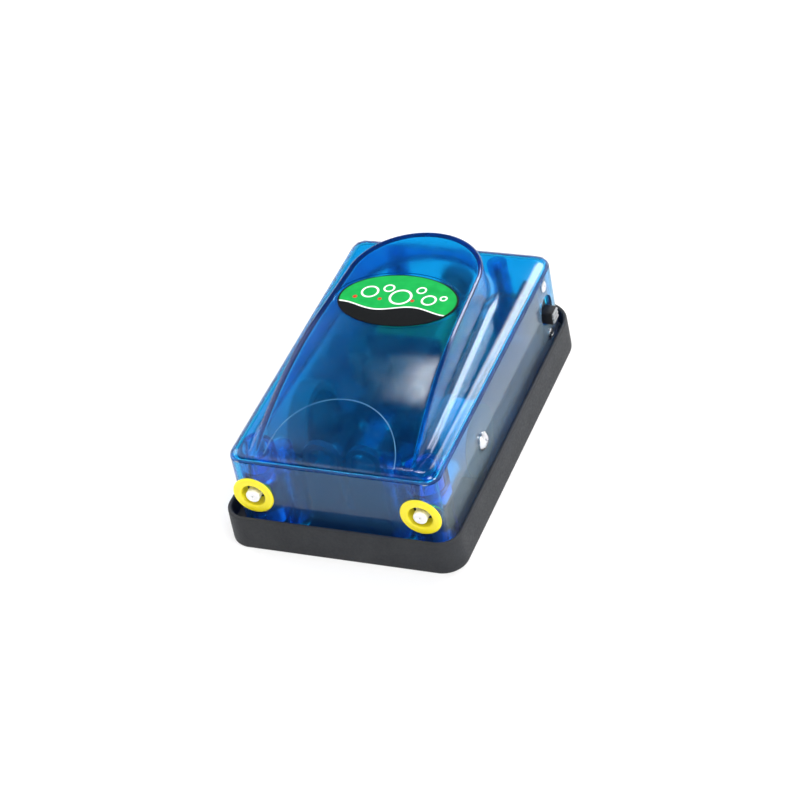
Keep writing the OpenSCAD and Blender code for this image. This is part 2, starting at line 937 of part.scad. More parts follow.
module bracket_screws() {
    color(STEEL)
        for (side = SIDES)
            translate([side * bracket_screw_x, bracket_screw_y, pad_top + bracket_t + gap])
                screw(small_screw_r, bracket_t + bracket_screw_bite, small_head_r, small_head_t);
}

// Core and coil

module core_stack() {
    window_w = core_w / 2 - outer_leg_w - leg_w / 2;
    color(IRON)
        translate([0, 0, core_z - core_h / 2 + snug])
            difference() {
                translate([-core_w / 2, core_front, 0])
                    cube([core_w, core_l, core_h - snug]);
                for (side = SIDES) {
                    translate([side * (leg_w + window_w) / 2 - window_w / 2, core_front - over, -over])
                        cube([window_w, core_l - yoke_l + over, core_h + 2 * over]);
                    rod_z([side * core_screw_x, core_screw_y, -over], core_h + 2 * over,
                          core_screw_r + gap);
                }
            }
}

// A block along Y around the core's middle leg
module coil_block(half_x, half_z, front, rear) {
    box([-half_x, front, core_z - half_z], [half_x, rear, core_z + half_z]);
}

module coil_bobbin() {
    bore_x = leg_w / 2 + bobbin_gap;
    bore_z = core_h / 2 + bobbin_gap;
    color(BLACK)
        difference() {
            union() {
                coil_block(bore_x + bobbin_wall, bore_z + bobbin_wall, bobbin_front, bobbin_rear);
                coil_block(flange_x, flange_z, bobbin_front, bobbin_front + flange_t);
                coil_block(flange_x, flange_z, bobbin_rear - flange_t, bobbin_rear);
            }
            coil_block(bore_x, bore_z, bobbin_front - over, bobbin_rear + over);
        }
}

// Wound copper: a block with round edges between the flanges
winding_r = 3;

module wound_block(inset, front, rear) {
    half_x = flange_x - inset;
    half_z = flange_z - inset;
    translate([0, rear, core_z])
        rotate([90, 0, 0])
            rounded_block(half_x, half_z, rear - front, winding_r);
}

winding_front = bobbin_front + flange_t + gap;
winding_rear = bobbin_rear - flange_t - gap;
tube_x = leg_w / 2 + bobbin_gap + bobbin_wall + snug;
tube_z = core_h / 2 + bobbin_gap + bobbin_wall + snug;

module coil_winding() {
    color(COPPER)
        difference() {
            wound_block(winding_inset + tape_t + snug, winding_front, winding_rear);
            coil_block(tube_x, tube_z, winding_front - over, winding_rear + over);
        }
}

module coil_tape() {
    color(YELLOW)
        difference() {
            wound_block(winding_inset, winding_front, winding_rear);
            wound_block(winding_inset + tape_t, winding_front - over, winding_rear + over);
        }
}

module core_screws() {
    color(STEEL)
        for (side = SIDES)
            translate([side * core_screw_x, core_screw_y, core_z + core_h / 2 + snug])
                screw(core_screw_r, core_h + core_screw_bite, core_head_r, core_head_t);
}

// Insulated lead from the coil to the switch, bent round a few set points
lead_r = 0.7;
lead_route = [
    [9, bobbin_rear + 1, 31.5], [9.6, bobbin_rear + 3, 32.4], [11.5, 34.5, 32.8],
    [15, 39, 31.6], [18, 43, 28.8], [20, 46, 26.6],
    [21.2, 47.6, 25.7], [22.4, switch_y, switch_z + blade_pitch],
    [switch_box_inner - blade_l - lead_r - gap, switch_y, switch_z + blade_pitch]
];

module coil_lead() {
    color(RED)
        for (i = [0:len(lead_route) - 2])
            hull()
                for (p = [lead_route[i], lead_route[i + 1]])
                    translate(p)
                        sphere(r = lead_r, $fn = 16);
}

// Switch

module switch_body() {
    cavity_h = slider_h + switch_travel + 2 * knob_clear;
    color(BLACK)
        difference() {
            box([switch_box_inner, switch_y - frame_w / 2, switch_z - switch_box_h / 2],
                [switch_box_outer, switch_y + frame_w / 2, switch_z + switch_box_h / 2]);
            box([slider_inner - knob_clear, switch_y - slider_w / 2 - knob_clear,
                 switch_z - cavity_h / 2],
                [switch_box_outer + over, switch_y + slider_w / 2 + knob_clear,
                 switch_z + cavity_h / 2]);
        }
}

module switch_frame() {
    slot_h = stem_w + switch_travel + 2 * knob_clear;
    color(STEEL)
        difference() {
            box([frame_inner, switch_y - frame_w / 2, switch_z - frame_h / 2],
                [frame_outer, switch_y + frame_w / 2, switch_z + frame_h / 2]);
            box([frame_inner - over, switch_y - stem_w / 2 - knob_clear, switch_z - slot_h / 2],
                [frame_outer + over, switch_y + stem_w / 2 + knob_clear, switch_z + slot_h / 2]);
            for (end = SIDES)
                rod_x([frame_inner - over, switch_y, switch_z + end * switch_pitch / 2],
                      frame_t + 2 * over, small_screw_r + snug);
        }
}

// Knob with three grip ribs, a stem through the frame and a slider behind it
module switch_knob() {
    rib_r = 0.4;
    rib_pitch = 1.5;
    knob_inner = frame_outer + knob_clear;
    face_x = knob_outer - rib_r;
    color(BLACK)
        translate([0, switch_y, knob_rest_z]) {
            box([knob_inner, -knob_w / 2, -knob_w / 2], [face_x, knob_w / 2, knob_w / 2]);
            for (k = [-1:1])
                rod_y([face_x, -knob_w / 2, k * rib_pitch], knob_w, rib_r);
            box([slider_inner, -stem_w / 2, -stem_w / 2], [knob_inner + rib_r, stem_w / 2, stem_w / 2]);
            box([slider_inner, -slider_w / 2, -slider_h / 2],
                [slider_inner + slider_t, slider_w / 2, slider_h / 2]);
        }
}

module switch_terminals() {
    color(COPPER)
        for (k = [-1:1])
            translate([switch_box_inner - blade_l - snug, switch_y - blade_w / 2,
                       switch_z + k * blade_pitch - blade_t / 2])
                cube([blade_l, blade_w, blade_t]);
}

// Half-wave diode across two of the blades, for the low flow setting
module switch_diode() {
    wire_x = switch_box_inner - blade_l - diode_clear;
    wire_end = 0.4;
    color(BLACK) {
        rod_z([wire_x, switch_y, switch_z - (blade_pitch + diode_l) / 2], diode_l, diode_r);
        rod_z([wire_x, switch_y, switch_z - blade_pitch - wire_end],
              blade_pitch + 2 * wire_end, diode_wire_r);
    }
}

module switch_screws() {
    color(STEEL)
        for (end = SIDES)
            translate([case_x + snug, switch_y, switch_z + end * switch_pitch / 2])
                rotate([0, 90, 0])
                    screw(small_screw_r, wall + switch_screw_bite, switch_head_r, switch_head_t);
}

// Fasteners

module side_screws() {
    color(STEEL)
        for (side = SIDES)
            on_side(side)
                translate([case_x + snug, head_y, outlet_z])
                    rotate([0, 90, 0])
                        screw(side_screw_r, wall + side_screw_l - side_screw_room, side_head_r,
                              side_head_t);
}

module cover_screws() {
    color(STEEL)
        translate([0, 0, cover_head_top - snug])
            at_posts()
                mirror([0, 0, 1])
                    screw(cover_screw_r - snug, cover_screw_top - cover_head_top, cover_head_r,
                          cover_head_t);
}

// Rear cord inlet: a rubber bush with a flange on each side of the wall. Its outer flange grips
// the cord, and the rest of its bore is wider
module cord_grommet() {
    inner_end = inside_y - gap - gland_lip_l;
    outer_end = case_y + gap + gland_flange_t;
    color(BLACK)
        difference() {
            union() {
                rod_y([0, case_y + gap, cord_z], gland_flange_t, gland_flange_r);
                rod_y([0, inner_end, cord_z], case_y + 2 * gap - inner_end, gland_neck_r - snug);
                rod_y([0, inner_end, cord_z], gland_lip_l, gland_lip_r);
            }
            rod_y([0, inner_end - over, cord_z], case_y + gap - inner_end + over, gland_relief_r);
            rod_y([0, case_y, cord_z], outer_end - case_y + over, cord_bore_r);
        }
}

// Air inlet filter

module felt_filter() {
    felt_bottom = floor_top + filter_clear;
    color(FELT)
        rod_z([0, filter_y, felt_bottom], filter_top - felt_bottom - gap, filter_r - filter_clear);
}

module filter_cap() {
    color(BLACK)
        difference() {
            rod_z([0, filter_y, case_bottom + gap], wall, filter_r - gap);
            inlet_holes(case_bottom - over, wall + 2 * over);
        }
}

rubber_base();
lower_case();
case_floor();
upper_cover();
label_plate();
outlet_ring(LEFT);  // left_outlet_ring
outlet_ring(RIGHT);  // right_outlet_ring
outlet_nozzle(LEFT);  // left_outlet_nozzle
outlet_nozzle(RIGHT);  // right_outlet_nozzle
air_hose(LEFT);  // left_air_hose
air_hose(RIGHT);  // right_air_hose
head_body(LEFT);  // left_head_body
head_body(RIGHT);  // right_head_body
valve_plate(LEFT);  // left_valve_plate
valve_plate(RIGHT);  // right_valve_plate
inlet_flap(LEFT);  // left_inlet_flap
inlet_flap(RIGHT);  // right_inlet_flap
outlet_flap(LEFT);  // left_outlet_flap
outlet_flap(RIGHT);  // right_outlet_flap
diaphragm(LEFT);  // left_diaphragm
diaphragm(RIGHT);  // right_diaphragm
head_clamp(LEFT);  // left_head_clamp
head_clamp(RIGHT);  // right_head_clamp
arm(LEFT);  // left_arm
arm(RIGHT);  // right_arm
arm_bush(LEFT);  // left_arm_bush
arm_bush(RIGHT);  // right_arm_bush
pivot_pin(LEFT);  // left_pivot_pin
pivot_pin(RIGHT);  // right_pivot_pin
magnet(LEFT);  // left_magnet
magnet(RIGHT);  // right_magnet
diaphragm_screw(LEFT);  // left_diaphragm_screw
diaphragm_screw(RIGHT);  // right_diaphragm_screw
arm_bracket();
bracket_screws();
core_stack();
coil_bobbin();
coil_winding();
coil_tape();
core_screws();
switch_body();
switch_frame();
switch_knob();
switch_terminals();
switch_screws();
switch_diode();
coil_lead();
side_screws();
cover_screws();
cord_grommet();
felt_filter();
filter_cap();
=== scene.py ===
"""Looks of the twin-outlet air pump: a translucent blue case on a black rubber tray.

Everything is built in the CAD frame: +Z up, outlets towards -Y, switch towards +X.
Sizes in the code are millimetres and become metres when a mesh is made.
"""

import math

import bmesh
import bpy
import numpy as np
from mathutils import Matrix, Vector


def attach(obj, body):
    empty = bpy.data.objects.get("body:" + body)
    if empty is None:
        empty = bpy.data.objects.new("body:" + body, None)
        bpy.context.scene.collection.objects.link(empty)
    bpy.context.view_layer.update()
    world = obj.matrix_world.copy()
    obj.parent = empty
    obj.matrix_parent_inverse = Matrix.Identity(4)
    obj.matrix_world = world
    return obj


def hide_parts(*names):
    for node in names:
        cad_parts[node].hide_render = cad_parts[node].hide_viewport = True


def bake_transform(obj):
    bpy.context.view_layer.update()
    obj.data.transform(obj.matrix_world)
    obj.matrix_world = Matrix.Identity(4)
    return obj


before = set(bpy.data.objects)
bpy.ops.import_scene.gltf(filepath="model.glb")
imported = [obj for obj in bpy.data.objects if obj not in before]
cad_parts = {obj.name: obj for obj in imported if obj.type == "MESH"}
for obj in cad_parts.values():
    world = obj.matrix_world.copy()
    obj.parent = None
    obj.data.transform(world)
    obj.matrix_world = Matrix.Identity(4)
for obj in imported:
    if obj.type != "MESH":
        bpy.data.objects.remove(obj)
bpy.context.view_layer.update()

MM = 0.001
HOUSING = "housing"
SIDES = {"left": -1, "right": 1}

# Sizes that several pieces share: the case's outline, the label's oval, the screw posts, the outlets
# and the pump heads, which lie on the outlets' height
CASE_X, CASE_Y, CASE_R = 37.1, 60.2, 5.0
LABEL_Y, LABEL_X, LABEL_L = 11.0, 21.6, 13.7
POST_X, POST_Y = 19.1, 53.0
OUTLET_X, OUTLET_Z = 29.7, 20.5
HEAD_Y = -21.3
UP = (0, 0, 1)


# Mesh helpers


def make_object(name, points, faces, materials, sharp_deg=40, face_slots=None):
    """A smooth-shaded object from points in millimetres, with edges over sharp_deg kept sharp."""
    mesh = bpy.data.meshes.new(name)
    mesh.from_pydata([[c * MM for c in p] for p in points], [], faces)
    for material in materials:
        mesh.materials.append(material)
    if face_slots is not None:
        mesh.polygons.foreach_set("material_index", face_slots)
    tidy_mesh(mesh, sharp_deg)
    obj = bpy.data.objects.new(name, mesh)
    bpy.context.scene.collection.objects.link(obj)
    return obj


def tidy_mesh(mesh, sharp_deg):
    """Faces look outwards and are smooth, apart from edges over sharp_deg."""
    bm = bmesh.new()
    bm.from_mesh(mesh)
    bmesh.ops.recalc_face_normals(bm, faces=bm.faces)
    bm.to_mesh(mesh)
    bm.free()
    mesh.shade_smooth()
    mesh.set_sharp_from_angle(angle=math.radians(sharp_deg))


def join_parts(parts):
    """One list of points, faces and face slots from (points, faces, slot) parts."""
    points, faces, slots = [], [], []
    for part_points, part_faces, slot in parts:
        start = len(points)
        points.extend(part_points)
        faces.extend([[start + i for i in f] for f in part_faces])
        slots.extend([slot] * len(part_faces))
    return points, faces, slots


def turned(profile, steps=64):
    """A closed ring-shaped or capped solid turned about Z from a closed loop of (radius, height)."""
    points, rows = [], []
    for radius, height in profile:
        on_axis = radius < 1e-6
        if on_axis:
            rows.append([len(points)] * steps)
            points.append((0.0, 0.0, height))
            continue
        rows.append(list(range(len(points), len(points) + steps)))
        for k in range(steps):
            a = 2 * math.pi * k / steps
            points.append((radius * math.cos(a), radius * math.sin(a), height))
    faces = []
    for low, high in zip(rows, rows[1:] + rows[:1]):
        for k in range(steps):
            ring = [low[k], low[(k + 1) % steps], high[(k + 1) % steps], high[k]]
            face = [v for i, v in enumerate(ring) if v not in ring[:i]]
            if len(face) > 2:
                faces.append(face)
    return points, faces


def stacked(loops):
    """A closed solid through loops with as many points each, capped at its two ends."""
    count = len(loops[0])
    points = [point for loop in loops for point in loop]
    rows = [list(range(start, start + count)) for start in range(0, len(points), count)]
    faces = [[a[k], a[(k + 1) % count], b[(k + 1) % count], b[k]]
             for a, b in zip(rows, rows[1:]) for k in range(count)]
    return points, faces + [rows[0][::-1], rows[-1]]


def placed(part, origin, axis=UP):
    """The part's +Z turned to point along axis, with its origin moved to origin."""
    points, faces = part
    turn = Vector(UP).rotation_difference(Vector(axis)).to_matrix()
    return [tuple(turn @ Vector(p) + Vector(origin)) for p in points], faces


def arc(centre, radius, start_deg, end_deg, count):
    """Points of an arc in a profile's plane."""
    angles = np.radians(np.linspace(start_deg, end_deg, count))
    return [(centre[0] + radius * math.cos(a), centre[1] + radius * math.sin(a)) for a in angles]


def rounded_box(low, high, radius, segments=3):
    """A box between two corners with rounded edges."""
    bm = bmesh.new()
    bmesh.ops.create_cube(bm, size=1)
    size = [h - l for l, h in zip(low, high)]
    middle = [(h + l) / 2 for l, h in zip(low, high)]
    for v in bm.verts:
        v.co = Vector([m + c * s for m, c, s in zip(middle, v.co, size)])
    bmesh.ops.bevel(bm, geom=bm.edges[:], offset=radius, segments=segments, profile=0.5,
                    affect="EDGES", clamp_overlap=True)
    points = [tuple(v.co) for v in bm.verts]
    faces = [[v.index for v in f.verts] for f in bm.faces]
    bm.free()
    return points, faces


def carve(obj, cutters, sharp_deg=40):
    """Cuts the solids in cutters, lists of (points, faces), out of obj."""
    solids = []
    for i, (points, faces) in enumerate(cutters):
        cutter = make_object(f"cutter_{i}", points, faces, [])
        solids.append(cutter)
        mod = obj.modifiers.new(f"cut_{i}", "BOOLEAN")
        mod.object = cutter
        mod.operation = "DIFFERENCE"
        mod.solver = "EXACT"
    graph = bpy.context.evaluated_depsgraph_get()
    mesh = bpy.data.meshes.new_from_object(obj.evaluated_get(graph))
    obj.modifiers.clear()
    obj.data = mesh
    for cutter in solids:
        bpy.data.objects.remove(cutter)
    tidy_mesh(mesh, sharp_deg)
    return obj


def put(obj, slot, *nodes, body=HOUSING):
    """The piece rides on a body and stands for CAD nodes, which it hides; slot is not used."""
    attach(obj, body)
    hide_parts(*nodes)
    return obj


# Materials


class Nodes:
    """Builds one material's node tree."""

    def __init__(self, name):
        self.material = bpy.data.materials.new(name)
        self.material.use_nodes = True
        self.tree = self.material.node_tree
        self.shader = self.tree.nodes["Principled BSDF"]
        self.output = self.tree.nodes["Material Output"]
        self.coords = self.add("ShaderNodeTexCoord").outputs["Object"]

    def add(self, kind, **inputs):
        """A new node with its inputs set by name, where _ stands for a space."""
        node = self.tree.nodes.new(kind)
        for key, value in inputs.items():
            self.set(node.inputs[key.replace("_", " ")], value)
        return node

    def set(self, socket, value):
        """Links a socket to an input, or gives the input a value."""
        if isinstance(value, bpy.types.NodeSocket):
            self.tree.links.new(value, socket)
        else:
            socket.default_value = value

    def noise(self, scale, detail=4):
        """Noise from 0 to 1 with its cell size set by scale in cells a metre."""
        node = self.add("ShaderNodeTexNoise", Vector=self.coords, Scale=scale, Detail=detail)
        return node.outputs["Fac"]

    def ramp(self, value, low, high, out_low=0.0, out_high=1.0):
        """Maps low..high of a value to out_low..out_high and clamps it."""
        node = self.tree.nodes.new("ShaderNodeMapRange")
        for i, v in enumerate([value, low, high, out_low, out_high]):
            self.set(node.inputs[i], v)
        return node.outputs[0]

    def spread(self, value, low=0.0, high=1.0):
        """Stretches noise, which keeps near its middle, to run from low to high."""
        return self.ramp(value, 0.3, 0.7, low, high)

    def math(self, operation, a, b=0.0):
        """One operation on two numbers or sockets."""
        node = self.tree.nodes.new("ShaderNodeMath")
        node.operation = operation
        self.set(node.inputs[0], a)
        self.set(node.inputs[1], b)
        return node.outputs[0]

    def length(self, a, b):
        """How far a point with the parts a and b lies from zero."""
        squares = self.math("ADD", self.math("MULTIPLY", a, a), self.math("MULTIPLY", b, b))
        return self.math("SQRT", squares)

    def mix(self, share, a, b):
        """Colour a at share 0, b at share 1."""
        node = self.tree.nodes.new("ShaderNodeMix")
        node.data_type = "RGBA"
        for socket, value in ((0, share), (6, a), (7, b)):
            self.set(node.inputs[socket], value)
        return node.outputs[2]

    def layer(self, below, above, share):
        """A mix of two shader nodes, with above at share 1."""
        node = self.add("ShaderNodeMixShader", Fac=share)
        self.set(node.inputs[1], below.outputs[0])
        self.set(node.inputs[2], above.outputs[0])
        return node

    def bump(self, height, strength, distance):
        """Relief on the main shader, with its distance in metres."""
        node = self.add("ShaderNodeBump", Height=height, Strength=strength, Distance=distance)
        self.set(self.shader.inputs["Normal"], node.outputs[0])

    def surface(self, **inputs):
        """Sets inputs of the main shader by name, where _ stands for a space."""
        for key, value in inputs.items():
            self.set(self.shader.inputs[key.replace("_", " ")], value)

    def split(self):
        """X, Y and Z of the object's own coordinates, in metres."""
        return self.add("ShaderNodeSeparateXYZ", Vector=self.coords).outputs


# Depth of a moulded surface's grain in metres, share of blue haze in the clear plastic, and share of
# light that goes straight through the screw posts
GRAIN_DEPTH = 0.00004
HAZE = 0.03
POST_FAINT = 0.7


def rgb(r, g, b):
    """A colour as the node sockets take it."""
    return (r, g, b, 1.0)


def moulded(name, dark, light, grain=900, rough=(0.35, 0.5), bump=0.15, metallic=0.0, gloss=0.5):
    """Moulded plastic, rubber or metal: a cloudy colour, uneven gloss and a fine grain."""
    n = Nodes(name)
    cloud = n.noise(grain / 12)
    fine = n.noise(grain, detail=6)
    n.surface(
        Base_Color=n.mix(n.spread(cloud), dark, light),
        Roughness=n.spread(fine, *rough),
        Metallic=metallic,
        Specular_IOR_Level=gloss,
    )
    n.bump(fine, bump, GRAIN_DEPTH)
    return n.material


def clear_plastic(name, inside, paint_sheen=None, faint=0.0):
    """Translucent blue plastic, polished outside and faintly frosted inside, with a deep blue haze.

    inside(nodes) gives a mask of the frosted faces, film(nodes) the colour and the share of a painted
    sheen that stands in for reflected light, and faint, a number or a function of nodes, the share of
    light that goes straight through. Part of the colour is at the surface, and the rest deepens with
    the thickness that light passes.
    """
    n = Nodes(name)
    cloud = n.noise(160, detail=3)
    polish = n.spread(cloud, 0.08, 0.13)
    frost = n.math("MULTIPLY", inside(n), n.spread(cloud, 0.05, 0.09))
    n.surface(
        Base_Color=rgb(0.20, 0.76, 0.96),
        Transmission_Weight=1.0,
        IOR=1.47,
        Roughness=n.math("ADD", polish, frost),
    )
    n.bump(n.noise(45, detail=2), 0.05, 0.0006)
    milk = n.add("ShaderNodeBsdfDiffuse", Color=rgb(0.005, 0.25, 0.85))
    surface = n.layer(n.shader, milk, HAZE)
    # A diffuse layer of painted sheen, standing in for reflected light, where one is given
    if paint_sheen:
        tint, share = paint_sheen(n)
        sheen_layer = n.add("ShaderNodeBsdfDiffuse", Color=tint)
        surface = n.layer(surface, sheen_layer, share)
    if faint:
        straight = n.add("ShaderNodeBsdfTransparent", Color=rgb(0.62, 0.86, 0.98))
        surface = n.layer(surface, straight, faint(n) if callable(faint) else faint)
    see_through = n.add("ShaderNodeBsdfTransparent", Color=rgb(0.36, 0.76, 0.95))
    surface = n.layer(surface, see_through, n.add("ShaderNodeLightPath").outputs["Is Shadow Ray"])
    n.set(n.output.inputs["Surface"], surface.outputs[0])
    depth = n.add("ShaderNodeVolumeAbsorption", Color=rgb(0.01, 0.82, 0.93), Density=590.0)
    n.set(n.output.inputs["Volume"], depth.outputs[0])
    return n.material


def marked_inside(n):
    """The mask that a mesh carries."""
    node = n.add("ShaderNodeAttribute")
    node.attribute_name = "frosted"
    return node.outputs["Fac"]


def within_walls(n):
    """All that lies behind the case's outer faces."""
    x, y, _ = n.split()
    behind = []
    for along, face in ((x, CASE_X), (y, CASE_Y)):
        behind.append(n.ramp(n.math("ABSOLUTE", along), (face - 0.2) * MM, (face - 0.1) * MM, 1.0, 0.0))
    return n.math("MULTIPLY", *behind)


def painted_wall_sheen(n):
    """A painted sheen on the outer walls that stands in for reflected light, uneven and less towards the
    top: a grey painted reflection on the sides and blue painted light at the ends."""
    x, y, z = n.split()
    sides = n.ramp(n.math("ABSOLUTE", x), (CASE_X - 1.9) * MM, (CASE_X - 0.05) * MM)
    ends = n.ramp(n.math("ABSOLUTE", y), (CASE_Y - 1.8) * MM, (CASE_Y - 0.05) * MM)
    on_sides = n.math("MULTIPLY", sides, n.ramp(z, 18 * MM, 33 * MM, 0.20, 0.05))
    on_ends = n.math("MULTIPLY", ends, n.ramp(z, 14 * MM, 20 * MM, 0.08, 0.05))
    uneven = n.spread(n.noise(35, detail=2), 0.8, 1.15)
    tint = n.mix(ends, rgb(0.52, 0.62, 0.58), rgb(0.14, 0.46, 0.88))
    return tint, n.math("MULTIPLY", n.math("MAXIMUM", on_sides, on_ends), uneven)


def on_posts(n):
    """The share of light that goes straight through the tubes of the case screws, which hardly show
    through the case. It's nothing elsewhere."""
    tube_r, floor_z = 4.1, 6
    x, y, z = n.split()
    dx = n.math("SUBTRACT", n.math("ABSOLUTE", x), POST_X * MM)
    dy = n.math("SUBTRACT", n.math("ABSOLUTE", y), POST_Y * MM)
    near = n.ramp(n.length(dx, dy), tube_r * MM, (tube_r + 0.2) * MM, POST_FAINT, 0.0)
    return n.math("MULTIPLY", near, n.ramp(z, floor_z * MM, (floor_z + 1) * MM))


def label_print(name):
    """A green oval with a dark edge, rising bubbles, and a dark wave under a pale line."""
    n = Nodes(name)
    x, y, _ = n.split()
    u = n.math("DIVIDE", x, LABEL_X * MM)
    v = n.math("DIVIDE", n.math("SUBTRACT", y, LABEL_Y * MM), LABEL_L * MM)

    def band(value, middle, half_width):
        """1 where value is within half_width of middle, with a soft edge."""
        off = n.math("ABSOLUTE", n.math("SUBTRACT", value, middle))
        return n.ramp(off, half_width * 0.7, half_width * 1.3, 1.0, 0.0)

    def bubble(bx, by, radius, line):
        """A ring round a place, or a spot where the radius is 0."""
        dx = n.math("SUBTRACT", u, bx)
        dy = n.math("MULTIPLY", n.math("SUBTRACT", v, by), LABEL_L / LABEL_X)
        return band(n.length(dx, dy), radius, line)

    wave_rate, wave_height, wave_level = 5.2, 0.10, -0.325
    wave = n.math("MULTIPLY", n.math("SINE", n.math("MULTIPLY", u, wave_rate)), wave_height)
    depth = n.math("SUBTRACT", v, wave)
    green = n.mix(n.spread(n.noise(260)), rgb(0.004, 0.30, 0.055), rgb(0.008, 0.37, 0.07))
    black = rgb(0.004, 0.005, 0.006)
    white = rgb(0.85, 0.88, 0.86)
    red = rgb(0.55, 0.02, 0.02)
    below = n.ramp(depth, wave_level - 0.015, wave_level + 0.015, 1.0, 0.0)
    colour = n.mix(below, green, black)
    colour = n.mix(band(depth, wave_level, 0.022), colour, white)
    # Place, radius and half the line's width of each bubble
    rings = [(-0.52, 0.22, 0.13, 0.016), (-0.24, 0.42, 0.08, 0.014), (0.02, 0.12, 0.17, 0.018),
             (0.30, 0.45, 0.07, 0.014), (0.50, 0.10, 0.11, 0.016), (0.72, 0.22, 0.05, 0.013)]
    for ring in rings:
        colour = n.mix(bubble(*ring), colour, white)
    for bx, by, radius in [(-0.72, -0.02, 0.035), (0.24, 0.02, 0.03), (-0.30, -0.02, 0.03)]:
        colour = n.mix(bubble(bx, by, 0.0, radius), colour, red)
    colour = n.mix(n.ramp(n.length(u, v), 0.955, 0.975), colour, black)
    n.surface(Base_Color=colour, Roughness=n.spread(n.noise(700), 0.42, 0.55), Specular_IOR_Level=0.06)
    n.bump(n.noise(120, detail=2), 0.05, 0.0003)
    return n.material


def pump_head(name):
    """Grey plastic, darker on the face towards the side wall, with a brown seal round that face."""
    face_x, seal_r, soft = 34.5, 11.2, 0.3
    n = Nodes(name)
    x, y, z = n.split()
    dy = n.math("SUBTRACT", y, HEAD_Y * MM)
    dz = n.math("SUBTRACT", z, OUTLET_Z * MM)
    face = n.ramp(n.math("ABSOLUTE", x), face_x * MM, (face_x + soft) * MM)
    seal = n.ramp(n.length(dy, dz), seal_r * MM, (seal_r + soft) * MM)
    cloud = n.noise(60)
    grey = n.mix(cloud, rgb(0.34, 0.36, 0.38), rgb(0.42, 0.44, 0.46))
    dark = n.mix(cloud, rgb(0.050, 0.055, 0.060), rgb(0.075, 0.080, 0.085))
    dark = n.mix(seal, dark, rgb(0.17, 0.09, 0.04))
    n.surface(Base_Color=n.mix(face, grey, dark), Roughness=n.spread(n.noise(700), 0.42, 0.58))
    n.bump(n.noise(900), 0.1, GRAIN_DEPTH)
    return n.material


def sheet_stack(name, pitch):
    """Laminated core: thin sheets along Z with darker joints."""
    n = Nodes(name)
    z = n.split()[2]
    joint = n.ramp(n.math("SINE", n.math("MULTIPLY", z, 2 * math.pi / (pitch * MM))), 0.55, 0.95)
    steel = n.mix(n.noise(300), rgb(0.20, 0.205, 0.215), rgb(0.32, 0.325, 0.335))
    n.surface(Base_Color=n.mix(joint, steel, rgb(0.05, 0.048, 0.046)), Metallic=0.7,
              Roughness=n.spread(n.noise(900), 0.4, 0.6))
    n.bump(n.math("SUBTRACT", 1.0, joint), 0.5, 0.0001)
    return n.material


def wound_wire(name, pitch):
    """Fine turns side by side along Y."""
    n = Nodes(name)
    y = n.split()[1]
    turn = n.math("SINE", n.math("MULTIPLY", y, 2 * math.pi / (pitch * MM)))
    n.surface(Base_Color=n.mix(n.noise(200), rgb(0.46, 0.16, 0.05), rgb(0.62, 0.26, 0.09)),
              Metallic=0.85, Roughness=n.spread(n.noise(500), 0.25, 0.4))
    n.bump(turn, 0.6, 0.00015)
    return n.material


BLUE = clear_plastic("clear_blue", marked_inside)
# The case walls carry a painted sheen that stands in for reflected light
WALL_BLUE = clear_plastic("clear_blue_walls", within_walls, painted_wall_sheen, on_posts)
POST_BLUE = clear_plastic("clear_blue_posts", within_walls, faint=POST_FAINT)
SEAM = moulded("seam_shadow", rgb(0.006, 0.012, 0.045), rgb(0.012, 0.022, 0.07), 700, (0.4, 0.6))
LINE = moulded("frosted_line", rgb(0.02, 0.13, 0.27), rgb(0.05, 0.23, 0.41), 1500, (0.35, 0.5))
RUBBER = moulded("tray_rubber", rgb(0.018, 0.020, 0.024), rgb(0.026, 0.028, 0.032), 1400,
                 (0.5, 0.68), 0.35, gloss=0.3)
SOFT_RUBBER = moulded("soft_rubber", rgb(0.016, 0.016, 0.018), rgb(0.028, 0.028, 0.03), 900,
                      (0.5, 0.65))
YELLOW = moulded("yellow_plastic", rgb(0.94, 0.80, 0.012), rgb(0.97, 0.86, 0.02), 600,
                 (0.28, 0.4), 0.08)
WHITE = moulded("white_plastic", rgb(0.90, 0.90, 0.88), rgb(0.95, 0.95, 0.93), 500, (0.3, 0.42))
GREY = pump_head("grey_plastic")
NAVY = moulded("navy_plastic", rgb(0.006, 0.008, 0.022), rgb(0.012, 0.015, 0.04), 500, (0.35, 0.5))
BLACK = moulded("black_plastic", rgb(0.008, 0.008, 0.010), rgb(0.016, 0.016, 0.018), 700,
                (0.42, 0.58), gloss=0.2)
# Grey painted highlight for the ribs on the knob's lit outer face
RIB_PAINTED_HIGHLIGHT = moulded("knob_rib_painted_highlight", rgb(0.20, 0.21, 0.22), rgb(0.30, 0.31, 0.32), 1500, (0.4, 0.55))
MILKY = moulded("milky_silicone", rgb(0.66, 0.69, 0.70), rgb(0.78, 0.80, 0.80), 300, (0.3, 0.45))
CLAMP = moulded("clamp_plastic", rgb(0.10, 0.105, 0.11), rgb(0.15, 0.155, 0.16), 500, (0.45, 0.6))
DARK_STEEL = moulded("dark_steel", rgb(0.10, 0.10, 0.11), rgb(0.16, 0.16, 0.17), 1200, (0.4, 0.55),
                     0.1, 0.8)
STEEL = moulded("zinc_steel", rgb(0.70, 0.71, 0.73), rgb(0.84, 0.85, 0.87), 1800, (0.16, 0.32),
                0.1, 1.0)
FERRITE = moulded("ferrite", rgb(0.035, 0.035, 0.037), rgb(0.06, 0.06, 0.062), 1200, (0.5, 0.7))
CORE = sheet_stack("core_sheets", pitch=0.7)
COPPER = wound_wire("copper_wire", pitch=0.35)
TAPE = moulded("yellow_tape", rgb(0.17, 0.16, 0.02), rgb(0.26, 0.24, 0.04), 260, (0.25, 0.4), 0.3)
RED = moulded("red_insulation", rgb(0.42, 0.02, 0.015), rgb(0.52, 0.03, 0.02), 600, (0.35, 0.5))
FELT = moulded("felt", rgb(0.52, 0.52, 0.48), rgb(0.72, 0.72, 0.68), 2600, (0.85, 0.97), 0.9)
LABEL = label_print("label_print")

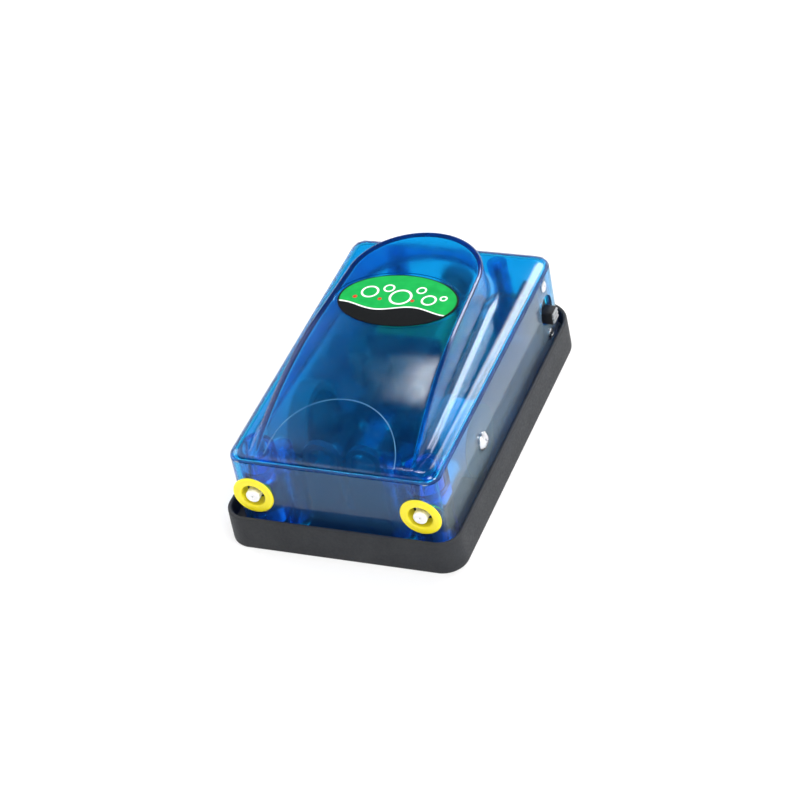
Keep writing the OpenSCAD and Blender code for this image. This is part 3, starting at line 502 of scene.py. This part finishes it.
NODE_MATERIALS = {
    "lower_case": WALL_BLUE, "case_floor": WALL_BLUE, "arm_bracket": NAVY,
    "left_head_body": GREY, "right_head_body": GREY,
    "left_valve_plate": WHITE, "right_valve_plate": WHITE,
    "left_inlet_flap": SOFT_RUBBER, "right_inlet_flap": SOFT_RUBBER,
    "left_outlet_flap": SOFT_RUBBER, "right_outlet_flap": SOFT_RUBBER,
    "left_head_clamp": CLAMP, "right_head_clamp": CLAMP,
    "left_arm": BLACK, "right_arm": BLACK,
    "left_arm_bush": SOFT_RUBBER, "right_arm_bush": SOFT_RUBBER,
    "left_pivot_pin": STEEL, "right_pivot_pin": STEEL,
    "left_magnet": FERRITE, "right_magnet": FERRITE,
    "left_diaphragm_screw": STEEL, "right_diaphragm_screw": STEEL,
    "bracket_screws": STEEL, "core_stack": CORE, "coil_bobbin": BLACK,
    "coil_winding": COPPER, "coil_tape": TAPE, "core_screws": STEEL,
    "switch_body": BLACK, "switch_frame": DARK_STEEL, "switch_terminals": COPPER,
    "switch_diode": BLACK, "coil_lead": RED, "cover_screws": STEEL, "filter_cap": BLACK,
}
for node, material in NODE_MATERIALS.items():
    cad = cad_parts[node]
    cad.data.materials.clear()
    cad.data.materials.append(material)


# Upper cover

# The deck's edge is EDGE_R high and EDGE_W wide. The hood is level behind the middle of the case and
# falls along an arch towards the front. Its crease draws in from CREASE_FRONT to CREASE_REAR, and a
# round end about ROUND_Y closes it.
WALL, EDGE_R, EDGE_W = 2.0, 3.0, 4.0
SEAM_Z = 34.0
DECK_Z = SEAM_Z + EDGE_R
SEAM_GAP, SEAM_BEVEL = 0.04, 0.3
HOOD_TOP, ARCH_R = 50.2, 125.0
CREASE_FRONT, CREASE_REAR = 29.0, 24.2
CREASE_R, FLANK_W, FILLET_R = 1.0, 0.7, 3.3
HOOD_FRONT_Y, ROUND_Y = -57.5, 25.4
SEAT_MARGIN, SEAT_DEPTH = 1.2, 0.4
POST_R, POST_BORE_R, POST_FOOT_Z = 3.6, 1.5, 28.5
CREST_X, CREST_Y, CREST_R = -1.0, -58.6, 22.9
CREST_W, CREST_H = 0.32, 0.12
CREST_ENDS = (3, 177)
FRONT_ROWS, LONG_ROWS, FAN_ROWS = 10, 56, 61
COVER_SHARP = 32


def smooth_max(a, b, k):
    """The higher of a and b, rounded over a step of k where they cross."""
    step = np.maximum(k - np.abs(a - b), 0)
    return np.maximum(a, b) + step * step / (4 * k)


def edge_distance(x, y, inset):
    """Distance inwards from the case's outline, drawn in by inset."""
    r = CASE_R - inset
    qx = np.abs(x) - (CASE_X - CASE_R)
    qy = np.abs(y) - (CASE_Y - CASE_R)
    outside = np.hypot(np.maximum(qx, 0), np.maximum(qy, 0))
    return r - outside - np.minimum(np.maximum(qx, qy), 0)


def hood_section(y, inset, least_rise=0.001):
    """The hood's section at y, outwards from its middle: where the round at its crease starts and
    ends, where the hollow at its foot starts and ends, its rise, the angle of its side, both radii."""
    least_r, crease_share, foot_share = 0.25, 0.25, 0.7
    draw_in, run_out = 0.9, 0.8
    t = np.clip((y - HOOD_FRONT_Y) / (ROUND_Y - HOOD_FRONT_Y), 0, 1)
    crease = CREASE_FRONT + (CREASE_REAR - CREASE_FRONT) * t - draw_in * inset
    arched = np.minimum(y, 0)
    rise = HOOD_TOP - ARCH_R + np.sqrt(ARCH_R ** 2 - arched ** 2) - DECK_Z
    rise = np.maximum(smooth_max(rise, 0.0, run_out), least_rise)
    lean = np.arctan2(rise, FLANK_W)
    length = np.hypot(rise, FLANK_W)
    bend = np.tan(lean / 2)
    crease_r = np.minimum(max(CREASE_R - inset, least_r), crease_share * length / bend)
    foot_r = np.minimum(FILLET_R + inset, foot_share * length / bend)
    foot = crease + FLANK_W
    stops = (crease - crease_r * bend, crease + crease_r * bend * np.cos(lean),
             foot - foot_r * bend * np.cos(lean), foot + foot_r * bend)
    return stops, rise, lean, crease_r, foot_r


def cover_height(x, y, inset):
    """Height of the cover's outside (inset 0) or inside (inset WALL) over a point."""
    x, y = np.broadcast_arrays(np.asarray(x, float), np.asarray(y, float))
    across = np.where(y > ROUND_Y, np.hypot(x, y - ROUND_Y), np.abs(x))
    (a, b, c, d), rise, lean, crease_r, foot_r = hood_section(y, inset)
    over_crease = rise - crease_r + np.sqrt(np.maximum(crease_r ** 2 - (across - a) ** 2, 0))
    side = over_crease_end(rise, crease_r, lean) - (across - b) * np.tan(lean)
    hollow = foot_r - np.sqrt(np.maximum(foot_r ** 2 - (d - across) ** 2, 0))
    hood = np.select([across <= a, across <= b, across <= c, across <= d],
                     [rise, over_crease, side, hollow], 0.0)
    share = np.clip(edge_distance(x, y, inset) / (EDGE_W - inset), 0, 1)
    return SEAM_Z + (EDGE_R - inset) * np.sqrt(1 - (1 - share) ** 2) + hood


def over_crease_end(rise, crease_r, lean):
    """Height over the deck at which the round of the crease runs into the side."""
    return rise - crease_r * (1 - np.cos(lean))


def reach_along(angle, inset, depth):
    """How far from the hood's round centre the outline, drawn in by depth, lies at an angle."""
    low, high = 0.0, 90.0
    for _ in range(50):
        mid = (low + high) / 2
        inside = edge_distance(mid * math.cos(angle), ROUND_Y + mid * math.sin(angle), inset) > depth
        low, high = (mid, high) if inside else (low, mid)
    return low


def columns(y, inset, deck_end, rim):
    """Places across half the cover, from its middle to its rim, close together where it bends."""
    (a, b, c, d), _, lean, crease_r, foot_r = hood_section(y, inset, least_rise=5.0)
    turn = np.linspace(0, lean, 8)
    roof = a * np.array([0, 0.2, 0.4, 0.6, 0.75, 0.87, 0.95])
    crease = a + crease_r * np.sin(turn)
    side = np.linspace(b, c, 5)[1:-1]
    hollow = d - foot_r * np.sin(np.linspace(lean, 0, 13))
    end = min(d, deck_end - 0.5)
    hollow = c + (hollow - c) * (end - c) / (d - c)
    deck = np.linspace(end, deck_end, 4)[1:]
    edge = deck_end + (rim - deck_end) * np.sin(np.radians(np.linspace(0, 90, 11)))[1:]
    return np.concatenate([roof, crease, side, hollow, deck, edge])


def cover_skin(inset):
    """Points, upward faces and rim loop of the cover's outside or inside."""
    edge = EDGE_W - inset
    corner_y = -(CASE_Y - CASE_R)
    front_rows = -(CASE_Y - inset) + edge * (1 - np.cos(np.radians(np.linspace(0, 90, FRONT_ROWS))))
    rows = np.concatenate([front_rows, np.linspace(front_rows[-1], ROUND_Y, LONG_ROWS)[1:]])
    points, grid = [], []

    def add(x, y):
        """Adds the point of the skin over a place and gives its index."""
        z = float(cover_height(x, y, inset))
        points.append((float(x), float(y), z))
        return len(points) - 1

    for y in rows:
        at = max(y, corner_y)
        half = columns(at, inset, CASE_X - inset - edge, CASE_X - inset)
        if y < corner_y:
            r = CASE_R - inset
            rim = CASE_X - CASE_R + math.sqrt(max(r * r - (corner_y - y) ** 2, 0))
            half = half * rim / (CASE_X - inset)
        across = np.concatenate([-half[:0:-1], half])
        grid.append([add(x, y) for x in across])
    n = len(half)
    faces = [[a[j], a[j + 1], b[j + 1], b[j]] for a, b in zip(grid, grid[1:])
             for j in range(2 * n - 2)]

    fans = [grid[-1][n - 1:]]
    for angle in np.linspace(0, math.pi, FAN_ROWS)[1:-1]:
        half = columns(ROUND_Y, inset, reach_along(angle, inset, edge), reach_along(angle, inset, 0))
        fan = [add(r * math.cos(angle), ROUND_Y + r * math.sin(angle)) for r in half[1:]]
        fans.append([fans[0][0]] + fan)
    fans.append(grid[-1][n - 1::-1])
    for a, b in zip(fans, fans[1:]):
        faces.append([a[0], a[1], b[1]])
        faces.extend([[a[j], a[j + 1], b[j + 1], b[j]] for j in range(1, n - 1)])

    rim = grid[0] + [row[-1] for row in grid[1:]] + [fan[-1] for fan in fans[1:]]
    rim += [row[0] for row in grid[-2:0:-1]]
    return points, faces, rim


def cover_shell():
    """The cover as one closed shell with a bevelled foot along the seam."""
    points, faces, rim = cover_skin(0)
    inner_points, inner_faces, inner_rim = cover_skin(WALL)
    start = len(points)
    bottom = SEAM_Z + SEAM_GAP
    for i in rim:
        x, y, _ = points[i]
        points[i] = (x, y, bottom + SEAM_BEVEL)
    points += inner_points
    inner_rim = [start + i for i in inner_rim]
    for i in inner_rim:
        x, y, _ = points[i]
        points[i] = (x, y, bottom)
    bevel = []
    for o, i in zip(rim, inner_rim):
        share = SEAM_BEVEL / WALL
        (x0, y0, _), (x1, y1, _) = points[o], points[i]
        bevel.append(len(points))
        points.append((x0 + (x1 - x0) * share, y0 + (y1 - y0) * share, bottom))
    faces += [[start + i for i in reversed(f)] for f in inner_faces]
    slots = [0] * len(faces)
    for slot, a, b in ((1, rim, bevel), (0, bevel, inner_rim)):
        for k in range(len(a)):
            m = (k + 1) % len(a)
            faces.append([a[k], b[k], b[m], a[m]])
            slots.append(slot)
    frosted = [0.0] * start + [1.0] * len(inner_points) + [0.0] * len(bevel)
    return points, faces, slots, frosted


def crest_bead():
    """The thin raised half circle on the front slope."""
    section = [(-0.5, -0.12), (-0.5, 0.0), (-0.32, 0.7), (0, 1.0), (0.32, 0.7), (0.5, 0.0),
               (0.5, -0.12)]
    loops = []
    for angle in np.radians(np.linspace(*CREST_ENDS, 120)):
        loop = []
        for across, up in section:
            r = CREST_R + CREST_W * across
            x, y = CREST_X + r * math.cos(angle), CREST_Y + r * math.sin(angle)
            loop.append((x, y, float(cover_height(x, y, 0)) + CREST_H * up))
        loops.append(loop)
    return stacked(loops)


def label_oval(half_x, half_y, z, steps=144):
    """A level loop round the label's middle."""
    angles = [2 * math.pi * k / steps for k in range(steps)]
    return [(half_x * math.cos(a), LABEL_Y + half_y * math.sin(a), z) for a in angles]


def screw_post(x, y):
    """A tube under the cover that takes a case screw from below. Its top is sunk into the cover."""
    top = float(cover_height(x, y, WALL)) + 0.6
    profile = [(POST_BORE_R, POST_FOOT_Z), (POST_R - 0.2, POST_FOOT_Z), (POST_R, POST_FOOT_Z + 0.2),
               (POST_R, top), (0, top), (0, SEAM_Z), (POST_BORE_R, SEAM_Z)]
    return placed(turned(profile, 40), (x, y, 0))


cover_points, cover_faces, cover_slots, cover_frosted = cover_shell()
cover = make_object("upper_cover_shell", cover_points, cover_faces, [BLUE, SEAM], COVER_SHARP,
                    cover_slots)
cover.data.attributes.new("frosted", "FLOAT", "POINT").data.foreach_set("value", cover_frosted)
seat_x, seat_l = LABEL_X + SEAT_MARGIN, LABEL_L + SEAT_MARGIN
seat = stacked([label_oval(seat_x, seat_l, z) for z in (HOOD_TOP - SEAT_DEPTH, HOOD_TOP + 2)])
carve(cover, [seat], COVER_SHARP)
put(cover, "clear_blue", "upper_cover")

POSTS = [(sx * POST_X, sy * POST_Y) for sx in (-1, 1) for sy in (-1, 1)]
post_parts = [(*screw_post(x, y), 0) for x, y in POSTS]
posts = make_object("cover_posts", *join_parts(post_parts)[:2], [POST_BLUE])
put(posts, "clear_blue", "upper_cover")

crest = make_object("crest_line", *crest_bead(), [LINE], sharp_deg=60)
put(crest, "clear_blue", "upper_cover")


# Label


def label_disc():
    """A thin oval with a soft edge."""
    rows = [(0.985, 0.0), (1.0, 0.1), (1.0, 0.24), (0.994, 0.31), (0.98, 0.335), (0.6, 0.34)]
    underside = HOOD_TOP - SEAT_DEPTH + 0.03
    return stacked([label_oval(LABEL_X * reach, LABEL_L * reach, underside + up) for reach, up in rows])


label = make_object("oval_label", *label_disc(), [LABEL], sharp_deg=50)
put(label, "green_label", "label_plate")


# Rubber tray

BASE_X, BASE_FRONT, BASE_REAR, BASE_H = 42.0, 64.8, 63.3, 13.0
FRONT_R, REAR_R = 8.0, 12.0
BASE_FLOOR, STEP_TOP, STEP_GAP = 3.3, 6.5, 0.15
LIP_T, LIP_ROUND, DRAFT = 1.6, 0.65, 0.2
FILTER_Y, VENT_R, SCREW_HOLE_R = -12.0, 14.0, 4.0
TRAY_SHARP = 45


def tray_outline(half_x, front, rear, front_r, rear_r, corner_steps=14):
    """A rounded rectangle with its own radius in front and at the rear."""
    corners = [(1, rear, rear_r), (-1, rear, rear_r), (-1, -front, front_r), (1, -front, front_r)]
    outline = []
    for quarter, (side, end, r) in enumerate(corners):
        centre = (side * (half_x - r), end - math.copysign(r, end))
        outline.extend(arc(centre, r, 90 * quarter, 90 * quarter + 90, corner_steps))
    return outline


def tray_body():
    """The tray's section swept round: outside, lip, step and floor."""
    middle = (LIP_T + DRAFT) / 2
    lip = [(middle - (middle - DRAFT) * math.cos(a), BASE_H - LIP_ROUND + LIP_ROUND * math.sin(a))
           for a in np.radians(np.linspace(0, 180, 13))]
    outside = [(0.7, 0.0), (0.25, 0.12), (0.06, 0.4), (0.0, 0.9), (0.02, 4.0), (0.08, 8.0)]
    inside = [(LIP_T, 9.0), (LIP_T, STEP_TOP + 0.6), (LIP_T + 0.15, STEP_TOP + 0.15),
              (LIP_T + 0.6, STEP_TOP)]
    levels = [(tray_outline(BASE_X - i, BASE_FRONT - i, BASE_REAR - i, FRONT_R - i, REAR_R - i), z)
              for i, z in outside + lip + inside]
    seat = [(0.4, STEP_TOP), (0.12, STEP_TOP - 0.12), (0.0, STEP_TOP - 0.4), (0.0, BASE_FLOOR + 0.4),
            (-0.12, BASE_FLOOR + 0.12), (-0.4, BASE_FLOOR)]
    for grow, z in seat:
        room = STEP_GAP + grow
        levels.append((tray_outline(CASE_X + room, CASE_Y + room, CASE_Y + room, CASE_R + room,
                                    CASE_R + room), z))
    return stacked([[(x, y, z) for x, y in outline] for outline, z in levels])


def plug(x, y, radius):
    """A solid that cuts a round hole through the tray's floor."""
    return placed(turned([(0, -1), (radius, -1), (radius, 6), (0, 6)], 48), (x, y, 0))


tray = make_object("rubber_tray", *tray_body(), [RUBBER], TRAY_SHARP)
tray_holes = [plug(0, FILTER_Y, VENT_R)]
tray_holes += [plug(x, y, SCREW_HOLE_R) for x, y in POSTS]
air_groove = rounded_box((-3, FILTER_Y, -2), (3, 70, 1.5), 0.3, 2)
carve(tray, tray_holes + [air_groove], TRAY_SHARP)
put(tray, "black_rubber", "rubber_base")


# Outlets

RING_R, RING_BORE_R, RING_T, RING_SEAT_R = 7.2, 4.2, 0.8, 5.15
NOZZLE_R, NOZZLE_TIP = 2.4, 1.3


def outlet_ring():
    """A rounded collar on a seat in the wall. Height runs out of the front wall."""
    profile = [(RING_BORE_R, -3.9), (RING_SEAT_R, -3.9), (RING_SEAT_R, 0.05), (RING_R - 0.1, 0.05),
               (RING_R, 0.15)]
    profile += arc((RING_R - 0.6, RING_T - 0.6), 0.6, 0, 90, 9)
    profile += arc((RING_BORE_R + 0.45, RING_T - 0.45), 0.45, 90, 180, 7)
    return turned(profile, 96)


def outlet_nozzle():
    """A stub for the airline outside and one for the hose inside. Height runs out of the front wall."""
    orifice, bore, collar = 0.32, 1.1, 3.35
    profile = [(bore, -18.5), (NOZZLE_R - 0.3, -18.5), (NOZZLE_R, -18.0), (NOZZLE_R, -13.7),
               (collar, -13.7), (collar, -4.0), (NOZZLE_R, -4.0)]
    profile += arc((NOZZLE_R - 0.5, NOZZLE_TIP - 0.5), 0.5, 0, 90, 6)
    profile += arc((orifice + 0.25, NOZZLE_TIP - 0.25), 0.25, 90, 180, 4)
    profile += [(orifice, NOZZLE_TIP - 1.0), (bore, NOZZLE_TIP - 2.0)]
    return turned(profile, 64)


def air_hose():
    """A soft tube, a little swollen where it's pushed over the nozzle and the head's stub."""
    front, rear, bore, outside = 14.9, 24.8, 2.42, 3.0
    swell, swell_l = 0.14, 2.2
    profile = [(bore, -rear), (bore, -front)]
    for h in np.linspace(-front, -rear, 25):
        ends = math.exp(-((h + front) / swell_l) ** 2) + math.exp(-((h + rear) / swell_l) ** 2)
        profile.append((outside + swell * ends, h))
    return turned(profile, 48)


for side, sign in SIDES.items():
    at, out = (sign * OUTLET_X, -CASE_Y, OUTLET_Z), (0, -1, 0)
    put(make_object(f"{side}_ring", *placed(outlet_ring(), at, out), [YELLOW]), "yellow_plastic",
        f"{side}_outlet_ring")
    put(make_object(f"{side}_nozzle", *placed(outlet_nozzle(), at, out), [WHITE]), "white_plastic",
        f"{side}_outlet_nozzle")
    put(make_object(f"{side}_hose", *placed(air_hose(), at, out), [MILKY]), "milky_silicone",
        f"{side}_air_hose")


# Diaphragms


def diaphragm():
    """A rubber bell from its clamped rim down to the boss on the arm. Height runs outwards."""
    outer = [(3.6, 13.0), (3.6, 14.6), (4.0, 15.0), (5.6, 15.4), (7.4, 16.1), (8.9, 17.3),
             (10.1, 18.7), (10.7, 20.0), (10.7, 22.2)]
    inner = [(9.6, 23.55), (9.6, 20.4), (8.9, 19.2), (7.7, 18.0), (6.2, 17.1), (4.0, 16.6), (0, 16.4)]
    profile = [(1.3, 13.0)] + outer + [(12.3, 22.2), (12.5, 22.4), (12.5, 23.35), (12.3, 23.55)]
    profile += inner + [(0, 15.2), (1.3, 15.2)]
    return turned(profile, 64)


for side, sign in SIDES.items():
    part = placed(diaphragm(), (0, HEAD_Y, OUTLET_Z), (sign, 0, 0))
    bell = make_object(f"{side}_bell", *part, [SOFT_RUBBER], sharp_deg=35)
    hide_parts(f"{side}_diaphragm")
    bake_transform(bell)


# Screws and switch

SWITCH_Y, SWITCH_Z, SWITCH_PITCH = 48.0, 21.3, 20.5
KNOB_Z = 19.4
SCREW_GAP, SCREW_SHARP = 0.05, 35

# Head radius, head height, shank radius and shank length
HEAD_SCREW = (3.3, 2.0, 1.5, 7.2)
SWITCH_SCREW = (2.0, 1.0, 1.1, 3.9)


def cross_screw(head_r, head_t, shank_r, shank_l):
    """A domed cross-head screw: head above the origin, shank below it."""
    rim = 0.28 * head_t
    sag = head_t - rim
    dome_r = (head_r ** 2 + sag ** 2) / (2 * sag)
    start = math.degrees(math.asin(head_r / dome_r))
    profile = [(0, -shank_l), (shank_r * 0.4, -shank_l), (shank_r, -shank_l + 0.8), (shank_r, 0),
               (head_r - 0.1, 0), (head_r, 0.1), (head_r, rim)]
    profile += arc((0, head_t - dome_r), dome_r, 90 - start * 0.95, 90, 9)
    return turned(profile, 48)


def cross_cutters(head_r, head_t):
    """Two tapered bars for the cross recess."""
    half, width = head_r * 0.62, head_r * 0.13
    low, high = head_t * 0.25, head_t * 1.4
    bars = []
    for long_x, long_y in ((half, width), (width, half)):
        loops = []
        for z, grow in ((low, 0.55), (high, 1.25)):
            loops.append([(sx * long_x * grow, sy * long_y * grow, z)
                          for sx, sy in ((-1, -1), (1, -1), (1, 1), (-1, 1))])
        bars.append(stacked(loops))
    return bars


def spun(part, degrees):
    """The part turned about Z."""
    points, faces = part
    turn = Matrix.Rotation(math.radians(degrees), 3, "Z")
    return [tuple(turn @ Vector(p)) for p in points], faces


def side_screw(name, size, origin, side, spin):
    """A screw in a side wall, 1 for the right and -1 for the left, with its cross turned by spin."""
    axis = (side, 0, 0)
    obj = make_object(name, *placed(cross_screw(*size), origin, axis), [STEEL], SCREW_SHARP)
    bars = [placed(spun(bar, spin), origin, axis) for bar in cross_cutters(*size[:2])]
    return carve(obj, bars, SCREW_SHARP)


for side, sign in SIDES.items():
    at = (sign * (CASE_X + SCREW_GAP), HEAD_Y, OUTLET_Z)
    put(side_screw(f"{side}_head_screw", HEAD_SCREW, at, sign, 22), "steel", "side_screws")
for level, sign in (("lower", -1), ("upper", 1)):
    at = (CASE_X + SCREW_GAP, SWITCH_Y, SWITCH_Z + sign * SWITCH_PITCH / 2)
    screw = side_screw(f"{level}_switch_screw", SWITCH_SCREW, at, 1, 12 + 20 * sign)
    put(screw, "steel", "switch_screws")


def knob_block(start_x, end_x, half_y, half_z, radius, slot, middle_z=KNOB_Z):
    """One rounded block of the knob, with its material slot."""
    low = (start_x, SWITCH_Y - half_y, middle_z - half_z)
    high = (end_x, SWITCH_Y + half_y, middle_z + half_z)
    return (*rounded_box(low, high, radius), slot)


RIB_PITCH = 1.5
knob_parts = [
    knob_block(35.32, 39.85, 2.5, 2.5, 0.45, 0),
    knob_block(31.6, 35.6, 1.5, 1.5, 0.2, 0),
    knob_block(31.55, 33.1, 2.2, 3.0, 0.2, 0),
]
# The ribs take the grey painted highlight
for k in (-1, 0, 1):
    knob_parts.append(knob_block(39.5, 40.4, 2.35, 0.48, 0.3, 1, KNOB_Z + RIB_PITCH * k))
knob_points, knob_faces, knob_slots = join_parts(knob_parts)
knob = make_object("flow_knob", knob_points, knob_faces, [BLACK, RIB_PAINTED_HIGHLIGHT], sharp_deg=50,
                   face_slots=knob_slots)
put(knob, "black_plastic", "switch_knob", body="flow_slider")


# Rear cord inlet and air filter


def grommet():
    """A rubber bush with a flange on each side of the rear wall. Height runs out of the wall."""
    profile = [(3.2, -4.3), (3.5, -4.6), (5.2, -4.6), (5.6, -4.2), (5.6, -2.5), (5.2, -2.1), (4.95, -2.1),
               (4.95, 0.1), (5.9, 0.1), (6.2, 0.4)]
    profile += arc((5.4, 0.9), 0.8, 0, 90, 7) + arc((3.0, 1.3), 0.4, 90, 180, 5)
    profile += [(2.6, 0.1), (3.2, -0.1)]
    return turned(profile, 64)


CORD_Z = 20.5
bush_part = placed(grommet(), (0, CASE_Y, CORD_Z), (0, 1, 0))
bush = make_object("cord_bush", *bush_part, [SOFT_RUBBER], sharp_deg=45)
put(bush, "black_rubber", "cord_grommet")

felt_profile = [(0, 5.5), (10.2, 5.5), (10.65, 5.8), (10.8, 6.4), (10.75, 7.5), (10.3, 8.05), (0, 8.2)]
felt = placed(turned(felt_profile, 72), (0, FILTER_Y, 0))
put(make_object("felt_disc", *felt, [FELT], sharp_deg=60), "felt", "felt_filter")


# Studio


def floor_plane():
    """A white floor that partly glows where it's seen, and less so where it's mirrored."""
    half, glow_share, mirrored_share = 3000, 0.6, 0.6
    corners = [(-half, -half, 0), (half, -half, 0), (half, half, 0), (-half, half, 0)]
    floor = make_object("floor", corners, [[0, 1, 2, 3]], [])
    n = Nodes("floor_paint")
    n.surface(Base_Color=n.mix(n.noise(3), rgb(0.93, 0.93, 0.93), rgb(0.95, 0.95, 0.95)), Roughness=0.9,
              Specular_IOR_Level=0.0)
    path = n.add("ShaderNodeLightPath").outputs
    mirrored = n.math("MULTIPLY", path["Is Glossy Ray"], mirrored_share)
    looked_at = n.math("MAXIMUM", path["Is Camera Ray"], path["Is Transmission Ray"])
    seen = n.math("MAXIMUM", mirrored, looked_at)
    glow = n.add("ShaderNodeEmission", Color=rgb(1, 1, 1), Strength=1.0)
    surface = n.layer(n.shader, glow, n.math("MULTIPLY", seen, glow_share))
    n.set(n.output.inputs["Surface"], surface.outputs[0])
    floor.data.materials.append(n.material)


def studio_world():
    """White round the horizon, dark overhead."""
    world = bpy.data.worlds.new("studio")
    bpy.context.scene.world = world
    world.use_nodes = True
    tree = world.node_tree
    coords = tree.nodes.new("ShaderNodeTexCoord")
    split = tree.nodes.new("ShaderNodeSeparateXYZ")
    ramp = tree.nodes.new("ShaderNodeValToRGB")
    tree.links.new(coords.outputs["Generated"], split.inputs[0])
    tree.links.new(split.outputs["Z"], ramp.inputs[0])
    stops = ramp.color_ramp.elements
    stops[0].position, stops[0].color = 0.24, rgb(1.0, 1.0, 1.0)
    stops[1].position, stops[1].color = 0.52, rgb(0.03, 0.03, 0.035)
    tree.links.new(ramp.outputs["Color"], tree.nodes["Background"].inputs["Color"])


# A lamp is at full strength from this part of its half width inwards
LAMP_FADE = 0.5


def softbox(name, place, aim, top, size, watts):
    """A lamp of size (width, height) in metres that looks along aim, with its height along top. It
    fades towards its edges, and its level makes up for that."""
    lamp = bpy.data.lights.new(name, "AREA")
    lamp.shape = "RECTANGLE"
    lamp.size, lamp.size_y = size
    lamp.energy = watts
    lamp.use_nodes = True
    nodes, links = lamp.node_tree.nodes, lamp.node_tree.links

    def step(operation, a, b=0.0):
        """One operation on two numbers or sockets."""
        node = nodes.new("ShaderNodeMath")
        node.operation = operation
        for socket, value in zip(node.inputs, (a, b)):
            if isinstance(value, float):
                socket.default_value = value
            else:
                links.new(value, socket)
        return node.outputs[0]

    place_on_lamp = nodes.new("ShaderNodeSeparateXYZ")
    links.new(nodes.new("ShaderNodeTexCoord").outputs["UV"], place_on_lamp.inputs[0])
    fades = []
    for along in place_on_lamp.outputs[:2]:
        off = step("ABSOLUTE", step("SUBTRACT", step("MULTIPLY", along, 2.0), 1.0))
        fades.append(step("MINIMUM", step("DIVIDE", step("SUBTRACT", 1.0, off), LAMP_FADE), 1.0))
    level = (1 - LAMP_FADE / 2) ** -2
    links.new(step("MULTIPLY", step("MULTIPLY", *fades), level), nodes["Emission"].inputs["Strength"])
    obj = bpy.data.objects.new(name, lamp)
    back = -Vector(aim).normalized()
    across = Vector(top).cross(back).normalized()
    turn = Matrix((across, back.cross(across), back)).transposed().to_4x4()
    obj.matrix_world = Matrix.Translation(place) @ turn
    obj.visible_camera = False
    bpy.context.scene.collection.objects.link(obj)


def photo_camera():
    """The photograph's view. Distance and aim are in metres."""
    azimuth, elevation, roll = (math.radians(d) for d in (28.03, 38.66, 11.86))
    distance, aim_right, aim_up = 0.950, -0.00098, 0.01212
    back = Vector((math.sin(azimuth) * math.cos(elevation), -math.cos(azimuth) * math.cos(elevation),
                   math.sin(elevation)))
    right = Vector((math.cos(azimuth), math.sin(azimuth), 0))
    up = back.cross(right)
    cam_x = right * math.cos(roll) - up * math.sin(roll)
    cam_y = right * math.sin(roll) + up * math.cos(roll)
    data = bpy.data.cameras.new("photo_view")
    data.lens, data.sensor_width = 123.8, 36.0
    data.clip_start = 0.01
    camera = bpy.data.objects.new("photo_view", data)
    place = right * aim_right + up * aim_up + back * distance
    camera.matrix_world = Matrix.Translation(place) @ Matrix((cam_x, cam_y, back)).transposed().to_4x4()
    bpy.context.scene.collection.objects.link(camera)
    bpy.context.scene.camera = camera


floor_plane()
studio_world()
softbox("key_right_rear", (0.301, 1.035, 0.849), (-0.301, -1.035, -0.849), (-0.942, 0, 0.335),
        (0.4, 1.5), 15)
softbox("side_right", (1.26, -0.21, 0.59), (-0.9, 0.15, -0.42), UP, (0.6, 0.6), 8)
softbox("top_right_front", (0.55, -0.35, 1.15), (-0.55, 0.35, -1.15), UP, (0.7, 0.7), 9)
softbox("top_card", (-0.193, 0.215, 0.557), (0, -0.3, -0.95), (0, 1, 0), (0.022, 0.24), 0.14)
softbox("left_card", (-0.335, 0, 0.557), (0, 0, -1), (-0.145, 0.99, 0), (0.2, 1.3), 0.95)
softbox("fill_left", (-1.0, 0.1, 0.8), (1.0, -0.1, -0.77), UP, (1.2, 0.9), 9)
photo_camera()
bpy.context.scene.view_settings.view_transform = "Standard"
